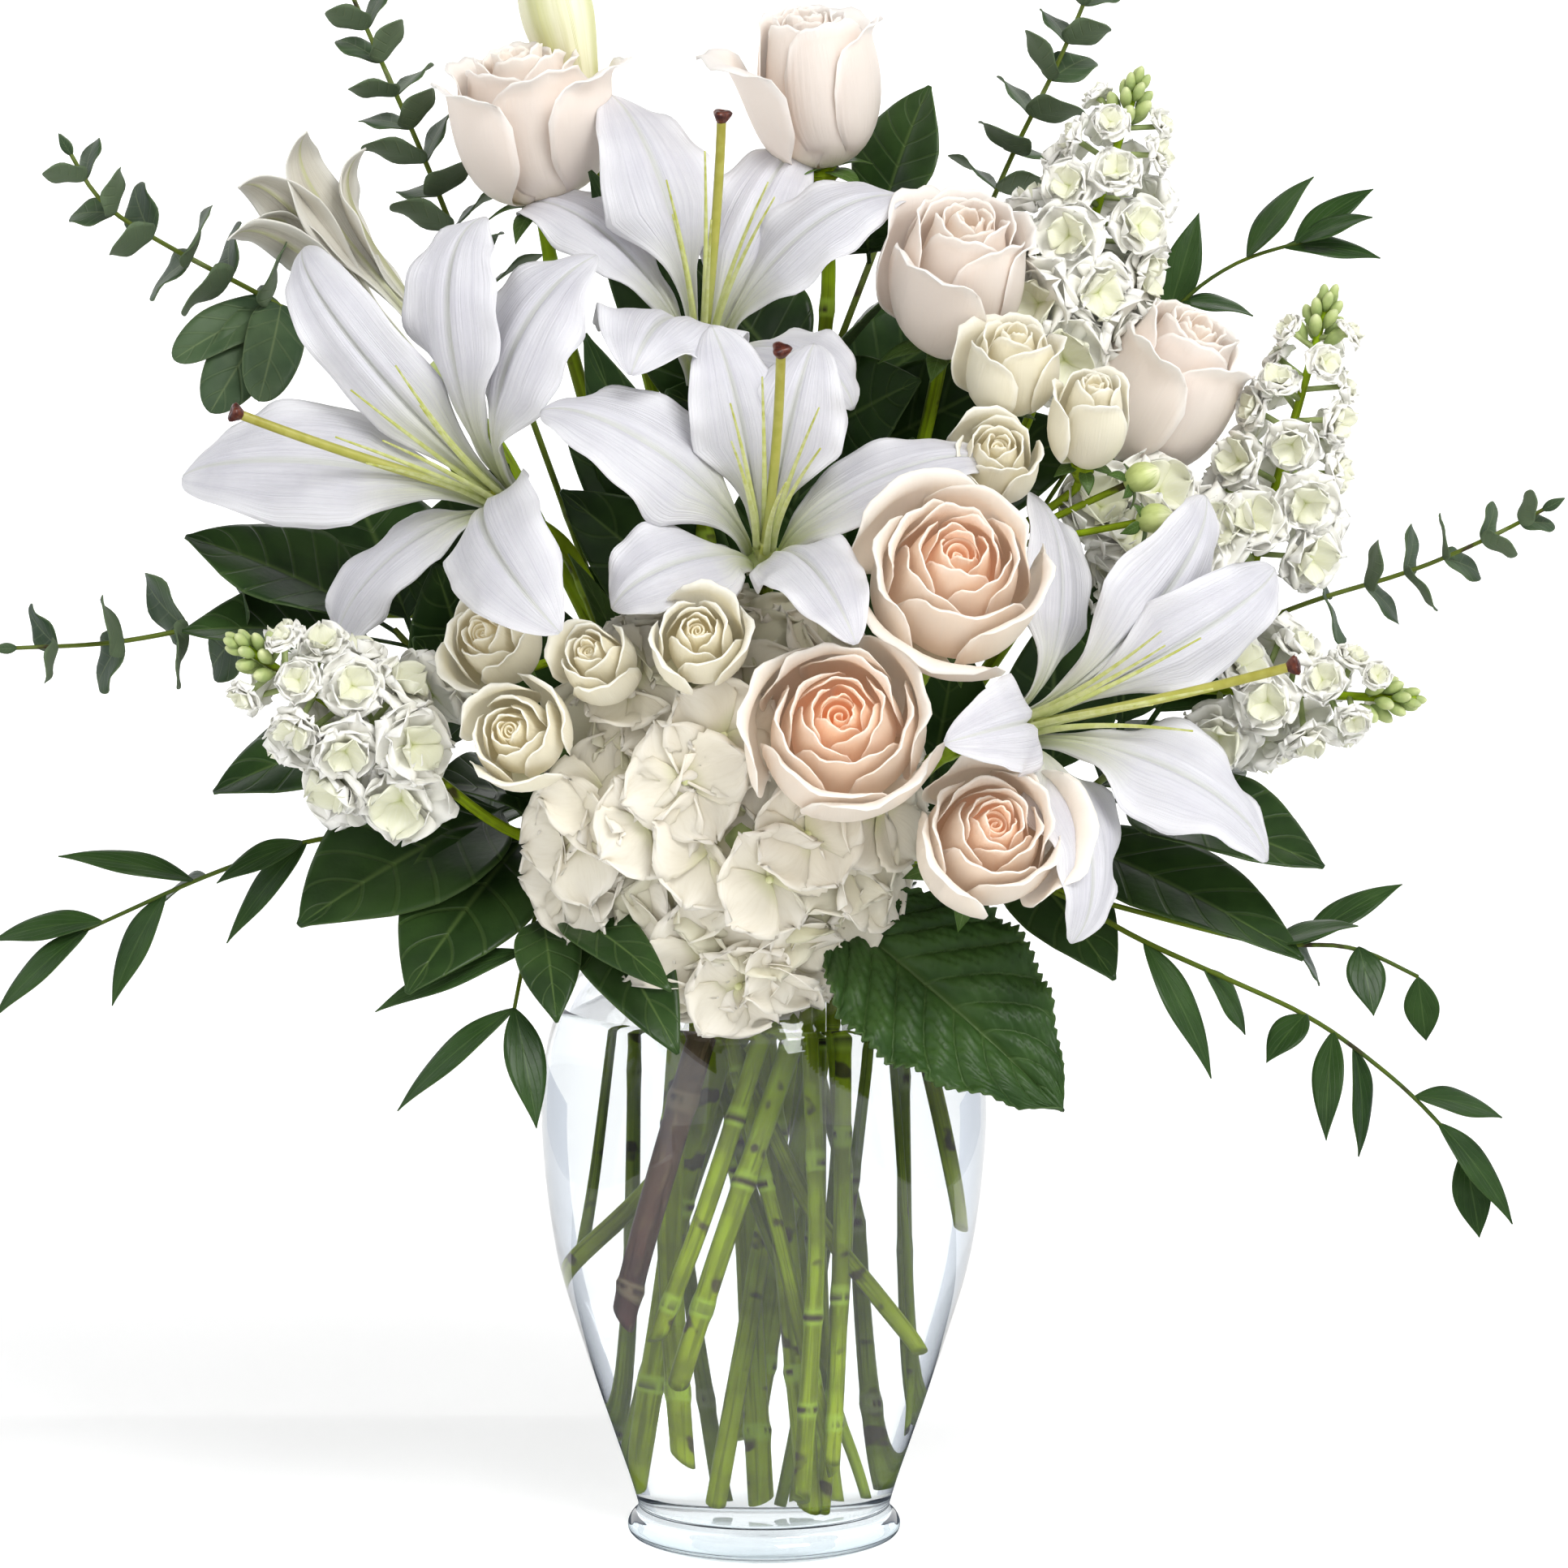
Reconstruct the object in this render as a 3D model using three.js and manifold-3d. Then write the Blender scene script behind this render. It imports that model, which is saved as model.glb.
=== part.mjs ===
// A bouquet of lilies, roses, hydrangea, stock and greens, standing in a clear vase of water.
// Millimetres, +Z up, -Y is the front, origin under the middle of the foot of the vase.
import * as THREE from 'three';
import { mergeVertices } from 'three/addons/utils/BufferGeometryUtils.js';
import Module from 'manifold-3d';

const wasm = await Module();
wasm.setup();
const { Manifold, Mesh: SolidMesh } = wasm;

// ---------------------------------------------------------------- driving dimensions

const GAP = 0.4; // clear space kept between separate pieces
const LEVEL_GAP = 0.48; // the same space measured level, beside the leaning wall of the vase
const FINENESS = 0.1; // detail smaller than this is smoothed away
const UP = new THREE.Vector3(0, 0, 1);

const VASE = {
  sides: 14,
  floor: 11, // height of the inside bottom above the table
  // radius and height up the outside: foot ring, swelling body, pinched neck, flared lip
  outside: [
    [44, 0], [48.5, 4], [44, 13], [52.5, 38], [64, 72], [73, 104], [77.5, 145],
    [75.5, 174], [68.5, 193], [48, 213], [47.5, 221], [53.5, 230],
  ],
  inside: [
    [50.5, 231.5], [44.2, 221], [45, 213], [65, 191], [72.5, 172], [74, 145],
    [69.5, 104], [49.5, 38], [40.5, 15], [36, 11],
  ],
};

const WATER_LEVEL = 186;
const NECK = { height: 224, radius: 39 }; // where the stems are squeezed together
const STEM_KNEES = [118]; // heights at which a stem in the vase may bend a little

const LOOKS = {
  glass: { color: 0xdfe8ee, roughness: 0.03, metalness: 0 },
  water: { color: 0xe6eff2, roughness: 0.02, metalness: 0 },
  lily: { color: 0xf1eff5, roughness: 0.45, metalness: 0 },
  stamen: { color: 0xc4cf86, roughness: 0.45, metalness: 0 },
  bud: { color: 0xd9d9a6, roughness: 0.5, metalness: 0 },
  cream: { color: 0xf2e3d6, roughness: 0.55, metalness: 0 },
  peach: { color: 0xf6dcc2, roughness: 0.55, metalness: 0 },
  ivory: { color: 0xf3eedd, roughness: 0.6, metalness: 0 },
  stock: { color: 0xf6f5f0, roughness: 0.6, metalness: 0 },
  stem: { color: 0x7c9440, roughness: 0.5, metalness: 0 },
  purple: { color: 0x5d4148, roughness: 0.6, metalness: 0 },
  gum: { color: 0x53724f, roughness: 0.6, metalness: 0 },
  ruscus: { color: 0x2f5226, roughness: 0.4, metalness: 0 },
  salal: { color: 0x24401d, roughness: 0.35, metalness: 0 },
};

// Pieces made first keep their full shape. Each later one is cut clear of them.
const ORDER = { glass: 0, stem: 1, stamen: 2, lily: 3, rose: 4, spray: 5, hydrangea: 6, stock: 7, leaf: 8 };

// Petal tips are given from the throat, to the right and up, with their reach along the axis.
const LILIES = [
  {
    throat: [-100, -45, 372], axis: [-0.55, -0.72, 0.42], pistil: [-75, 22],
    petals: [
      { tip: [-100, -1], reach: 22, half: 20, curl: 0.5 },
      { tip: [-56, 77], reach: 44, half: 14, curl: 0.7 },
      { tip: [7, 87], reach: 34, half: 19, curl: 0.9 },
      { tip: [45, 74], reach: 20, half: 16, curl: 0.6 },
      { tip: [35, -47], reach: 18, half: 20, curl: 0.6 },
      { tip: [-45, -60], reach: -20, half: 13, curl: 1.1 },
    ],
  },
  {
    throat: [-20, -15, 427], axis: [0.06, -0.6, 0.8], pistil: [6, 66],
    petals: [
      { tip: [-33, 75], reach: 36, half: 19, curl: 0.3 },
      { tip: [33, 57], reach: 20, half: 16, curl: 0.5 },
      { tip: [69, 39], reach: 32, half: 17, curl: 0.5 },
      { tip: [50, -32], reach: -2, half: 15, curl: 1.3 },
      { tip: [-21, -17], reach: 26, half: 18, curl: 0.7 },
      { tip: [-65, 34], reach: -2, half: 13, curl: 1.2 },
    ],
  },
  {
    throat: [1, -80, 360], axis: [0.02, -0.8, 0.6], pistil: [5, 55],
    petals: [
      { tip: [-74, 35], reach: 16, half: 18, curl: 0.8 },
      { tip: [-18, 63], reach: 30, half: 16, curl: 0.3 },
      { tip: [16, 57], reach: 26, half: 17, curl: 0.4 },
      { tip: [74, 17], reach: -4, half: 12, curl: 1.1 },
      { tip: [29, -38], reach: 24, half: 15, curl: 0.5 },
      { tip: [-50, -29], reach: -4, half: 17, curl: 1.2 },
    ],
  },
  {
    throat: [100, -85, 296], axis: [0.71, -0.64, 0.29], pistil: [74, 16],
    petals: [
      { tip: [48, 70], reach: 34, half: 19, curl: 0.4 },
      { tip: [71, 46], reach: 45, half: 16, curl: 0.4 },
      { tip: [67, -49], reach: 32, half: 19, curl: 0.4 },
      { tip: [-3, -72], reach: -16, half: 14, curl: 1.1 },
      { tip: [-42, -5], reach: 8, half: 15, curl: 0.9 },
      { tip: [-14, 72], reach: -20, half: 13, curl: 1.2 },
    ],
  },
];
const LILY = {
  depth: 28, // from the throat down to where the petals meet
  cone: [[0, -4], [3.6, -3.4], [7, 4], [0, 5]], // radius and height of the foot that holds them
  petal: 1.1, // thickness
  hub: [[0, 7], [4.2, 9], [4.4, 13], [0, 13]], // the knob in the throat that holds the stamens
  stamen: { long: 50, radius: 0.9 },
  pistil: { long: 62, radius: 1.2, tip: [2.9, 4.6] },
  branch: 2.4, // radius of a side stem
};

// A lily just opening, on the first lily's stem, and a closed bud on the second's.
const OPENING_LILY = {
  base: [-112, 25, 406], axis: [-0.63, 0.02, 0.77],
  lips: 6, tall: 92, wide: 25, wall: 1.6,
};
const LILY_BUD = { base: [-62, 35, 494], tip: [-78, 30, 562], radius: 12.5 };

const ROSES = [
  { at: [-82, 25, 491], axis: [-0.15, -0.25, 0.95], radius: 29, height: 52, flare: 0.16, look: 'cream' },
  { at: [17, 20, 503], axis: [-0.1, -0.3, 0.95], radius: 25, height: 52, flare: 0.26, look: 'cream' },
  { at: [66, -15, 438], axis: [0.15, -0.55, 0.82], radius: 27, height: 50, flare: 0.14, look: 'cream' },
  { at: [137, 0, 400], axis: [0.45, -0.35, 0.82], radius: 27, height: 54, flare: 0.16, look: 'cream' },
  { at: [62, -95, 340], axis: [0.1, -0.85, 0.5], radius: 33, height: 46, flare: 0.2, look: 'peach' },
  { at: [25, -112, 292], axis: [0, -0.93, 0.36], radius: 33, height: 46, flare: 0.16, look: 'peach' },
  { at: [73, -106, 256], axis: [0.15, -0.9, 0.4], radius: 27, height: 42, flare: 0.16, look: 'peach' },
];
const ROSE = { calyx: 7, smallCalyx: 4.5 };

const SPRAY_ROSES = [
  { at: [83, -45, 408], axis: [0.1, -0.5, 0.85], radius: 19, height: 30, side: 'right' },
  { at: [109, -55, 391], axis: [0.1, -0.55, 0.8], radius: 15.5, height: 32, side: 'right' },
  { at: [-89, -75, 318], axis: [-0.3, -0.85, 0.4], radius: 18, height: 28, side: 'left' },
  { at: [-54, -95, 313], axis: [-0.25, -0.85, 0.45], radius: 15, height: 26, side: 'left' },
  { at: [-21, -112, 321], axis: [0, -0.9, 0.4], radius: 18, height: 28, side: 'left' },
  { at: [-80, -100, 289], axis: [-0.2, -0.93, 0.3], radius: 20, height: 28, side: 'left' },
  { at: [77, -60, 377], axis: [0.1, -0.8, 0.55], radius: 17, height: 26, side: 'right' },
];
const SPRAY = {
  twig: 1.5, // radius under a small rose
  buds: [[124, -50, 371], [128, -54, 358]],
  bud: { twig: 1.2, radius: 5, tall: 13 },
};

const HYDRANGEA = {
  centre: [-13, -62, 264],
  head: [61, 40, 68], // half sizes of the round of florets
  core: 0.84, // how much of that the core fills
  florets: 28, // spread over the whole round, but left out where it faces the stems
  stemSide: 0.42,
  floret: [[0, -13], [20, 0], [0, 1]], // radius and height of one: its root, its petals, its eye
};
const HYDRANGEA_LEAF = {
  root: [26, -62, 226], tip: [99, -95, 165], half: 34, face: [0.1, -0.8, 0.6],
  stalk: [[8, -48, 234], [31.6, -65.2, 222]],
};

const STOCKS = [
  { base: [98, 15, 409], tip: [131, 5, 514], wide: 31, narrow: 13, tiers: 5 },
  { base: [169, -5, 342], tip: [195, -10, 440], wide: 23, narrow: 12, tiers: 5 },
  { base: [-116, -57, 277], tip: [-178, -95, 324], wide: 28, narrow: 13, tiers: 4 },
  { base: [157, -20, 299], tip: [226, -45, 297], wide: 24, narrow: 11, tiers: 4 },
];
const STOCK = { stem: 2.8, buds: { tall: 22, wide: 8 } };

// Every stem: radius, cut end in the vase and slot in the neck. A stem with a bloom runs to the
// bloom's base. Its bends above the neck are given as `via`, or worked out from the bloom.
const STEMS = {
  lily_1: { radius: 3.8, foot: [-24, -21, 32], slot: [-20, -6] },
  lily_2: { radius: 3.8, foot: [17, -25, 15], slot: [-5, 2] },
  lily_3: { radius: 3.6, foot: [-34, 7, 16], slot: [0, -14] },
  lily_4: { radius: 3.6, foot: [-28, -42, 62], slot: [24, -18] },
  rose_1: { radius: 3.1, foot: [0, 15, 15], slot: [-14, 10] },
  rose_2: { radius: 3.1, foot: [8, 34, 15], slot: [3, 14] },
  rose_3: { radius: 3, foot: [10, 2, 15], slot: [14, 3] },
  rose_4: { radius: 3.1, foot: [-4, 24, 40], slot: [24, 6] },
  rose_5: { radius: 3, foot: [-35, -44, 78], slot: [14, -20] },
  rose_6: { radius: 3, foot: [12, -35, 20], slot: [12, -31], via: [[46, -42, 252], [44, -66, 268]] },
  rose_7: { radius: 2.8, foot: [22, -36, 34], slot: [24, -29], via: [[50, -44, 240], [66, -62, 243]] },
  spray_left: { radius: 2.4, foot: [22, -28, 30], slot: [-20, -20], via: [[-32, -16, 266], [-50, -32, 318]] },
  spray_right: { radius: 2.4, foot: [16, -13, 14], slot: [17, -8], via: [[40, -16, 290], [72, -30, 346]] },
  hydrangea: { radius: 4.4, foot: [-45, -33, 82], slot: [-6, -33], via: [[-8, -38, 238], [-12, -50, 252]] },
  stock_1: { radius: 3, foot: [-13, -2, 15], slot: [14, 14] },
  stock_2: { radius: 3, foot: [-59, 7, 90], slot: [32, 2] },
  stock_3: { radius: 2.8, foot: [49, -17, 70], slot: [-30, -16], via: [[-54, -26, 240], [-88, -42, 252]] },
  stock_4: { radius: 2.8, foot: [56, -1, 110], slot: [34, -8], via: [[72, -8, 262], [122, -10, 298]] },
  eucalyptus_1: { radius: 1.9, foot: [-8, 35, 15], slot: [-20, 16] },
  eucalyptus_2: { radius: 1.9, foot: [36, -10, 18], slot: [-28, 4] },
  eucalyptus_3: { radius: 1.8, foot: [8, 24, 14], slot: [32, 14] },
  eucalyptus_4: { radius: 1.8, foot: [-35, 14, 20], slot: [10, 26] },
  ruscus_1: { radius: 1.5, foot: [-41, 17, 100], slot: [-37, -4] },
  ruscus_2: { radius: 1.5, foot: [43, -6, 40], slot: [34, -20] },
  ruscus_3: { radius: 1.5, foot: [4, 20, 14], slot: [22, 24] },
  salal_1: { radius: 2, foot: [-30, 24, 25], slot: [-33, 10] },
  salal_2: { radius: 2, foot: [32, 27, 30], slot: [37, 2] },
  salal_3: { radius: 2, foot: [23, 29, 18], slot: [-2, 30] },
};

// Eucalyptus: the twig's route above the neck, and how its pairs of round leaves sit on it.
const EUCALYPTUS = {
  eucalyptus_1: {
    route: [
      [-56, 30, 320], [-86, 34, 403], [-104, 40, 443], [-120, 45, 483], [-136, 45, 519], [-154, 45, 560],
    ],
    leaf: { length: 20, half: 7, start: 0.5, pairs: 6 },
  },
  eucalyptus_2: {
    route: [
      [-76, 22, 320], [-124, 26, 398], [-168, 22, 430], [-203, 16, 448], [-229, 10, 464], [-240, 10, 484],
    ],
    leaf: { length: 22, half: 10, start: 0.68, pairs: 4 },
    fork: {
      from: 1,
      route: [[-120, 24, 322], [-150, 18, 322], [-194, 8, 319], [-225, 2, 313], [-260, -4, 312]],
      leaf: { length: 24, half: 11, start: 0.6, pairs: 3 },
    },
    extra: [{ root: [-168, 22, 430], tip: [-192, -8, 394], half: 13 }],
  },
  eucalyptus_3: {
    route: [[90, 22, 276], [150, 20, 310], [190, 8, 328], [224, 2, 338], [252, -4, 351], [270, -6, 361]],
    leaf: { length: 20, half: 8, start: 0.66, pairs: 4 },
  },
  eucalyptus_4: {
    route: [[40, 44, 340], [74, 52, 451], [88, 56, 484], [103, 56, 513], [115, 56, 541], [121, 56, 560]],
    leaf: { length: 21, half: 8.5, start: 0.68, pairs: 4 },
  },
};

// Ruscus: each leaf is a root and a tip.
const RUSCUS = {
  ruscus_1: {
    route: [
      [-47, -8, 237], [-66, -10, 245], [-107, -8, 248], [-151, -20, 249], [-190, -26, 236], [-232, -30, 217],
    ],
    fork: { from: 1, route: [[-72, -30, 240], [-79, -60, 218], [-83, -72, 196]] },
    leaves: [
      [[-195, -26, 234], [-240, -34, 243]], [[-225, -30, 219], [-264, -26, 213]],
      [[-229, -30, 215], [-262, -38, 188]], [[-204, -28, 229], [-222, -36, 192]],
      [[-190, -26, 234], [-210, -10, 222]], [[-158, -21, 247], [-186, -36, 234]],
      [[-156, -20, 246], [-184, -24, 212]], [[-80, -62, 214], [-130, -66, 194]],
      [[-83, -72, 194], [-122, -76, 162]], [[-83, -72, 194], [-75, -88, 158]],
      [[-74, -40, 234], [-40, -84, 212]],
    ],
  },
  ruscus_2: {
    route: [
      [45, -26, 237], [70, -36, 240], [99, -46, 233], [124, -54, 218], [150, -60, 207], [186, -60, 191],
      [217, -60, 167], [236, -60, 146],
    ],
    fork: { from: 2, route: [[140, -38, 221], [172, -40, 213], [200, -42, 214], [222, -44, 203]] },
    leaves: [
      [[128, -55, 216], [150, -70, 172]], [[148, -60, 208], [163, -50, 184]],
      [[183, -60, 193], [168, -74, 178]], [[192, -60, 187], [188, -76, 152]],
      [[199, -60, 182], [202, -48, 142]], [[220, -60, 165], [250, -52, 156]],
      [[228, -60, 156], [252, -66, 122]], [[236, -60, 146], [242, -58, 116]],
      [[182, -41, 214], [218, -30, 233]], [[172, -40, 214], [200, -58, 222]],
      [[180, -41, 213], [190, -30, 198]], [[202, -42, 213], [206, -54, 191]],
      [[222, -44, 203], [226, -36, 180]],
    ],
  },
  ruscus_3: {
    route: [[60, 36, 300], [112, 38, 380], [134, 34, 415], [148, 28, 434], [166, 22, 446], [188, 20, 452]],
    leaves: [
      [[140, 31, 424], [152, 34, 462]], [[168, 22, 446], [190, 14, 474]], [[184, 20, 450], [212, 26, 470]],
      [[186, 20, 451], [210, 10, 460]], [[180, 20, 450], [214, 20, 446]], [[146, 29, 431], [170, 20, 426]],
      [[136, 33, 418], [160, 40, 414]],
    ],
  },
};
const RUSCUS_LEAF = { half: 6.2 };
const STALK_SHARE = 0.2; // how much of a broad leaf's length is its stalk
const LEAF_STEP = 6; // spacing of the leaves on a stem, downwards from each bend

// Salal: broad pointed leaves on short stalks, filling the gaps and the back of the bouquet.
const SALAL = {
  salal_1: {
    route: [[-52, 10, 243], [-78, 8, 262], [-104, 4, 292], [-128, 4, 318]],
    leaves: [
      { on: 3, tip: [-200, 4, 350], half: 24 },
      { on: 3, tip: [-200, -8, 318], half: 21 },
      { on: 2, tip: [-190, -6, 262], half: 24 },
      { on: 1, tip: [-156, -58, 222], half: 30 },
      { on: 1, tip: [-118, -80, 202], half: 24 },
      { on: 3, tip: [-150, 60, 372], half: 24 },
      { on: 1, tip: [-140, 74, 240], half: 27 },
      { on: 2, tip: [-112, -26, 342], half: 22 },
    ],
  },
  salal_2: {
    route: [[58, 4, 246], [84, 0, 254], [112, -12, 262], [128, -18, 280]],
    leaves: [
      { on: 2, tip: [188, -60, 242], half: 22 },
      { on: 1, tip: [182, -54, 210], half: 20 },
      { on: 3, tip: [176, 16, 338], half: 22 },
      { on: 2, tip: [170, 60, 268], half: 26 },
      { on: 0, tip: [92, 88, 226], half: 27 },
      { on: 1, tip: [118, -60, 204], half: 18 },
    ],
  },
  salal_3: {
    route: [[-2, 44, 262], [0, 48, 330], [20, 44, 400], [40, 42, 452]],
    leaves: [
      { on: 3, tip: [58, 36, 506], half: 18 },
      { on: 2, tip: [48, 2, 436], half: 18 },
      { on: 0, tip: [-60, 106, 232], half: 27 },
      { on: 0, tip: [34, 118, 240], half: 27 },
      { on: 1, tip: [-66, 90, 352], half: 26 },
      { on: 1, tip: [52, 104, 352], half: 26 },
      { on: 2, tip: [-28, 72, 446], half: 23 },
      { on: 2, tip: [84, 70, 428], half: 22 },
      { on: 1, tip: [-70, 14, 392], half: 22 },
      { on: 1, tip: [52, 0, 384], half: 20 },
    ],
  },
};

// ---------------------------------------------------------------- vectors and small rules

const vec = (x, y, z) => new THREE.Vector3(x, y, z);
const point = ([x, y, z]) => vec(x, y, z);
const beyond = (at, direction, distance) => at.clone().addScaledVector(direction, distance);
const between = (a, b, share) => a.clone().lerp(b, share);
const cross = (a, b) => new THREE.Vector3().crossVectors(a, b).normalize();
const smooth = (x) => THREE.MathUtils.smoothstep(x, 0, 1);

// A repeatable draw between -1 and 1.
function draw(seed) {
  const wave = Math.sin(seed * 12.9898 + 4.1) * 43758.5453;
  return 2 * (wave - Math.floor(wave)) - 1;
}

function levelSide(axis) {
  const side = new THREE.Vector3().crossVectors(UP, axis);
  return side.lengthSq() > 1e-4 ? side.normalize() : vec(1, 0, 0);
}

function frameAt(at, axis, spin = 0) {
  const forward = axis.clone().normalize();
  const side = levelSide(forward).applyAxisAngle(forward, spin);
  return new THREE.Matrix4().makeBasis(side, cross(forward, side), forward).setPosition(at);
}

// ---------------------------------------------------------------- solids

function solidOf(geometry) {
  geometry.deleteAttribute('normal');
  geometry.deleteAttribute('uv');
  const merged = mergeVertices(geometry, 1e-3);
  const corners = merged.index.array;
  const faces = [];
  for (let i = 0; i < corners.length; i += 3) {
    const [a, b, c] = corners.slice(i, i + 3);
    if (a !== b && b !== c && c !== a) faces.push(a, b, c);
  }
  return new Manifold(new SolidMesh({
    numProp: 3,
    vertProperties: new Float32Array(merged.attributes.position.array),
    triVerts: new Uint32Array(faces),
  }));
}

function geometryOf(solid) {
  const mesh = solid.getMesh();
  const geometry = new THREE.BufferGeometry();
  geometry.setAttribute('position', new THREE.BufferAttribute(mesh.vertProperties, 3));
  geometry.setIndex(new THREE.BufferAttribute(mesh.triVerts, 1));
  geometry.computeVertexNormals();
  return geometry;
}

const joined = (solids) => (solids.length === 1 ? solids[0] : Manifold.union(solids));

// A thin sheet laid on the surface at(s, t), with s from -1 to 1 across and t from 0 to 1 along.
function sheet(at, { across = 2, along = 3, thick = 1, grow = 0 }) {
  const reach = 0.02;
  const half = thick / 2 + grow;
  const upper = [];
  const lower = [];
  for (let j = 0; j <= along; j += 1) {
    for (let i = 0; i <= across; i += 1) {
      const s = (2 * i) / across - 1;
      const t = j / along;
      const overS = at(Math.min(1, s + reach), t).sub(at(Math.max(-1, s - reach), t)).normalize();
      const overT = at(s, Math.min(1, t + reach)).sub(at(s, Math.max(0, t - reach))).normalize();
      const middle = at(s, t);
      if (Math.abs(s) === 1) middle.addScaledVector(overS, grow * s);
      if (j === 0 || j === along) middle.addScaledVector(overT, j ? grow : -grow);
      const normal = cross(overS, overT);
      upper.push(beyond(middle, normal, half));
      lower.push(beyond(middle, normal, -half));
    }
  }
  return solidOf(closedSheet(upper, lower, across, along));
}

// Joins two like grids of points by a rim. Both faces are split along the same diagonals.
function closedSheet(upper, lower, across, along) {
  const row = across + 1;
  const under = upper.length;
  const faces = [];
  for (let j = 0; j < along; j += 1) {
    for (let i = 0; i < across; i += 1) {
      const a = j * row + i;
      const [b, c, d] = [a + 1, a + 1 + row, a + row];
      faces.push(a, b, c, a, c, d);
      faces.push(under + a, under + c, under + b, under + a, under + d, under + c);
    }
  }
  const rim = [];
  for (let i = 0; i < across; i += 1) rim.push(i);
  for (let j = 0; j < along; j += 1) rim.push(j * row + across);
  for (let i = across; i > 0; i -= 1) rim.push(along * row + i);
  for (let j = along; j > 0; j -= 1) rim.push(j * row);
  rim.forEach((a, k) => {
    const b = rim[(k + 1) % rim.length];
    faces.push(under + a, under + b, b, under + a, b, a);
  });
  const geometry = new THREE.BufferGeometry().setFromPoints([...upper, ...lower]);
  geometry.setIndex(faces);
  return geometry;
}

// A round stalk through a row of points: a straight extrusion whose rings are moved onto them.
// It narrows evenly to `tip` of its radius, or ends in a cup as wide as `cup`.
function stalk(points, radius, { sides = 4, tip = 1, cup = 0, grow = 0 } = {}) {
  const last = points.length - 1;
  const rings = points.map((p, k) => {
    const before = points[Math.max(0, k - 1)];
    const after = points[Math.min(last, k + 1)];
    const axis = after.clone().sub(before).normalize();
    const at = p.clone();
    if (k === 0) at.addScaledVector(axis, -grow);
    if (k === last) at.addScaledVector(axis, grow);
    const thick = cup && k === last ? cup : radius * THREE.MathUtils.lerp(1, tip, k / last);
    return { at, axis, radius: thick + grow };
  });
  let side = levelSide(rings[0].axis);
  rings.forEach((ring) => {
    side = side.clone().addScaledVector(ring.axis, -side.dot(ring.axis)).normalize();
    ring.side = side;
    ring.up = cross(ring.axis, side);
  });
  const section = new THREE.Shape(new THREE.EllipseCurve(0, 0, 1, 1).getPoints(sides).slice(0, sides));
  const geometry = new THREE.ExtrudeGeometry(section, { depth: last, steps: last, bevelEnabled: false });
  const place = geometry.attributes.position;
  for (let i = 0; i < place.count; i += 1) {
    const ring = rings[Math.round(place.getZ(i))];
    const at = beyond(ring.at, ring.side, place.getX(i) * ring.radius);
    at.addScaledVector(ring.up, place.getY(i) * ring.radius);
    place.setXYZ(i, at.x, at.y, at.z);
  }
  return solidOf(geometry);
}

// A turned shape from [radius, height] pairs, set on a frame. Growing swells it all round.
// relief(angle, ring) gives how far to move that ring there: { out: times its radius, up: height }.
function turned(profile, sides, frame, { grow = 0, relief } = {}) {
  const radii = profile.map(([r]) => r);
  const heights = profile.map(([, h]) => h);
  const middle = (Math.max(...heights) + Math.min(...heights)) / 2;
  const tall = (Math.max(...heights) - Math.min(...heights)) / 2;
  const wide = Math.max(...radii);
  const outline = profile.map(([r, h]) => new THREE.Vector2(
    (r * (wide + grow)) / wide,
    middle + ((h - middle) * (tall + grow)) / tall,
  ));
  const geometry = new THREE.LatheGeometry(outline, sides).rotateX(Math.PI / 2);
  if (relief) raiseRings(geometry, profile.length, relief);
  geometry.applyMatrix4(frame);
  return solidOf(geometry);
}

function raiseRings(geometry, rings, relief) {
  const place = geometry.attributes.position;
  for (let i = 0; i < place.count; i += 1) {
    const [x, y, z] = [place.getX(i), place.getY(i), place.getZ(i)];
    if (Math.hypot(x, y) < 1e-3) continue;
    const { out, up } = relief(Math.atan2(y, x), i % rings);
    place.setXYZ(i, x * out, y * out, z + up);
  }
}

// An egg, such as a bud or the heart of a rose, standing on its frame.
function egg(radius, height, frame, { sides = 4, grow = 0 } = {}) {
  const profile = [[0, 0], [0.95, 0.25], [0.85, 0.66], [0, 1]];
  return turned(profile.map(([r, h]) => [r * radius, h * height]), sides, frame, { grow });
}

// ---------------------------------------------------------------- pieces and the space they need

const pieces = new Map();

// make(grow) gives a list of solids: the piece itself, and with a gap grown round it. A bloom may
// give a plainer `cover` for the room that it takes.
function add(name, look, order, make, cover) {
  const piece = pieces.get(name) ?? { look, layers: [] };
  const body = joined(make(0));
  piece.layers.push({ name, order, body, room: cover ?? joined([body, ...make(GAP)]) });
  pieces.set(name, piece);
}

function near(a, b) {
  const [p, q] = [a.boundingBox(), b.boundingBox()];
  return [0, 1, 2].every((k) => p.min[k] <= q.max[k] && q.min[k] <= p.max[k]);
}

function clearOfNeighbours() {
  const layers = [...pieces.values()].flatMap((piece) => piece.layers);
  layers.sort((a, b) => a.order - b.order);
  const settled = [];
  for (const layer of layers) {
    const others = settled.filter((other) => other.name !== layer.name && near(other.room, layer.body));
    if (others.length) layer.body = layer.body.subtract(joined(others.map((other) => other.room)));
    settled.push(layer);
  }
}

// One body for a piece: what its layers hold together, without loose scraps or sealed hollows.
function wholeBody(piece) {
  const solid = joined(piece.layers.map((layer) => layer.body)).simplify(FINENESS);
  const parts = solid.decompose();
  parts.sort((a, b) => b.volume() - a.volume());
  return parts[0];
}

// ---------------------------------------------------------------- stems

function insideRadius(height) {
  const wall = VASE.inside;
  for (let i = 1; i < wall.length; i += 1) {
    const [[r1, h1], [r0, h0]] = [wall[i - 1], wall[i]];
    if (height >= h0 && height <= h1) return THREE.MathUtils.lerp(r0, r1, (height - h0) / (h1 - h0));
  }
  return wall[wall.length - 1][0];
}

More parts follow.
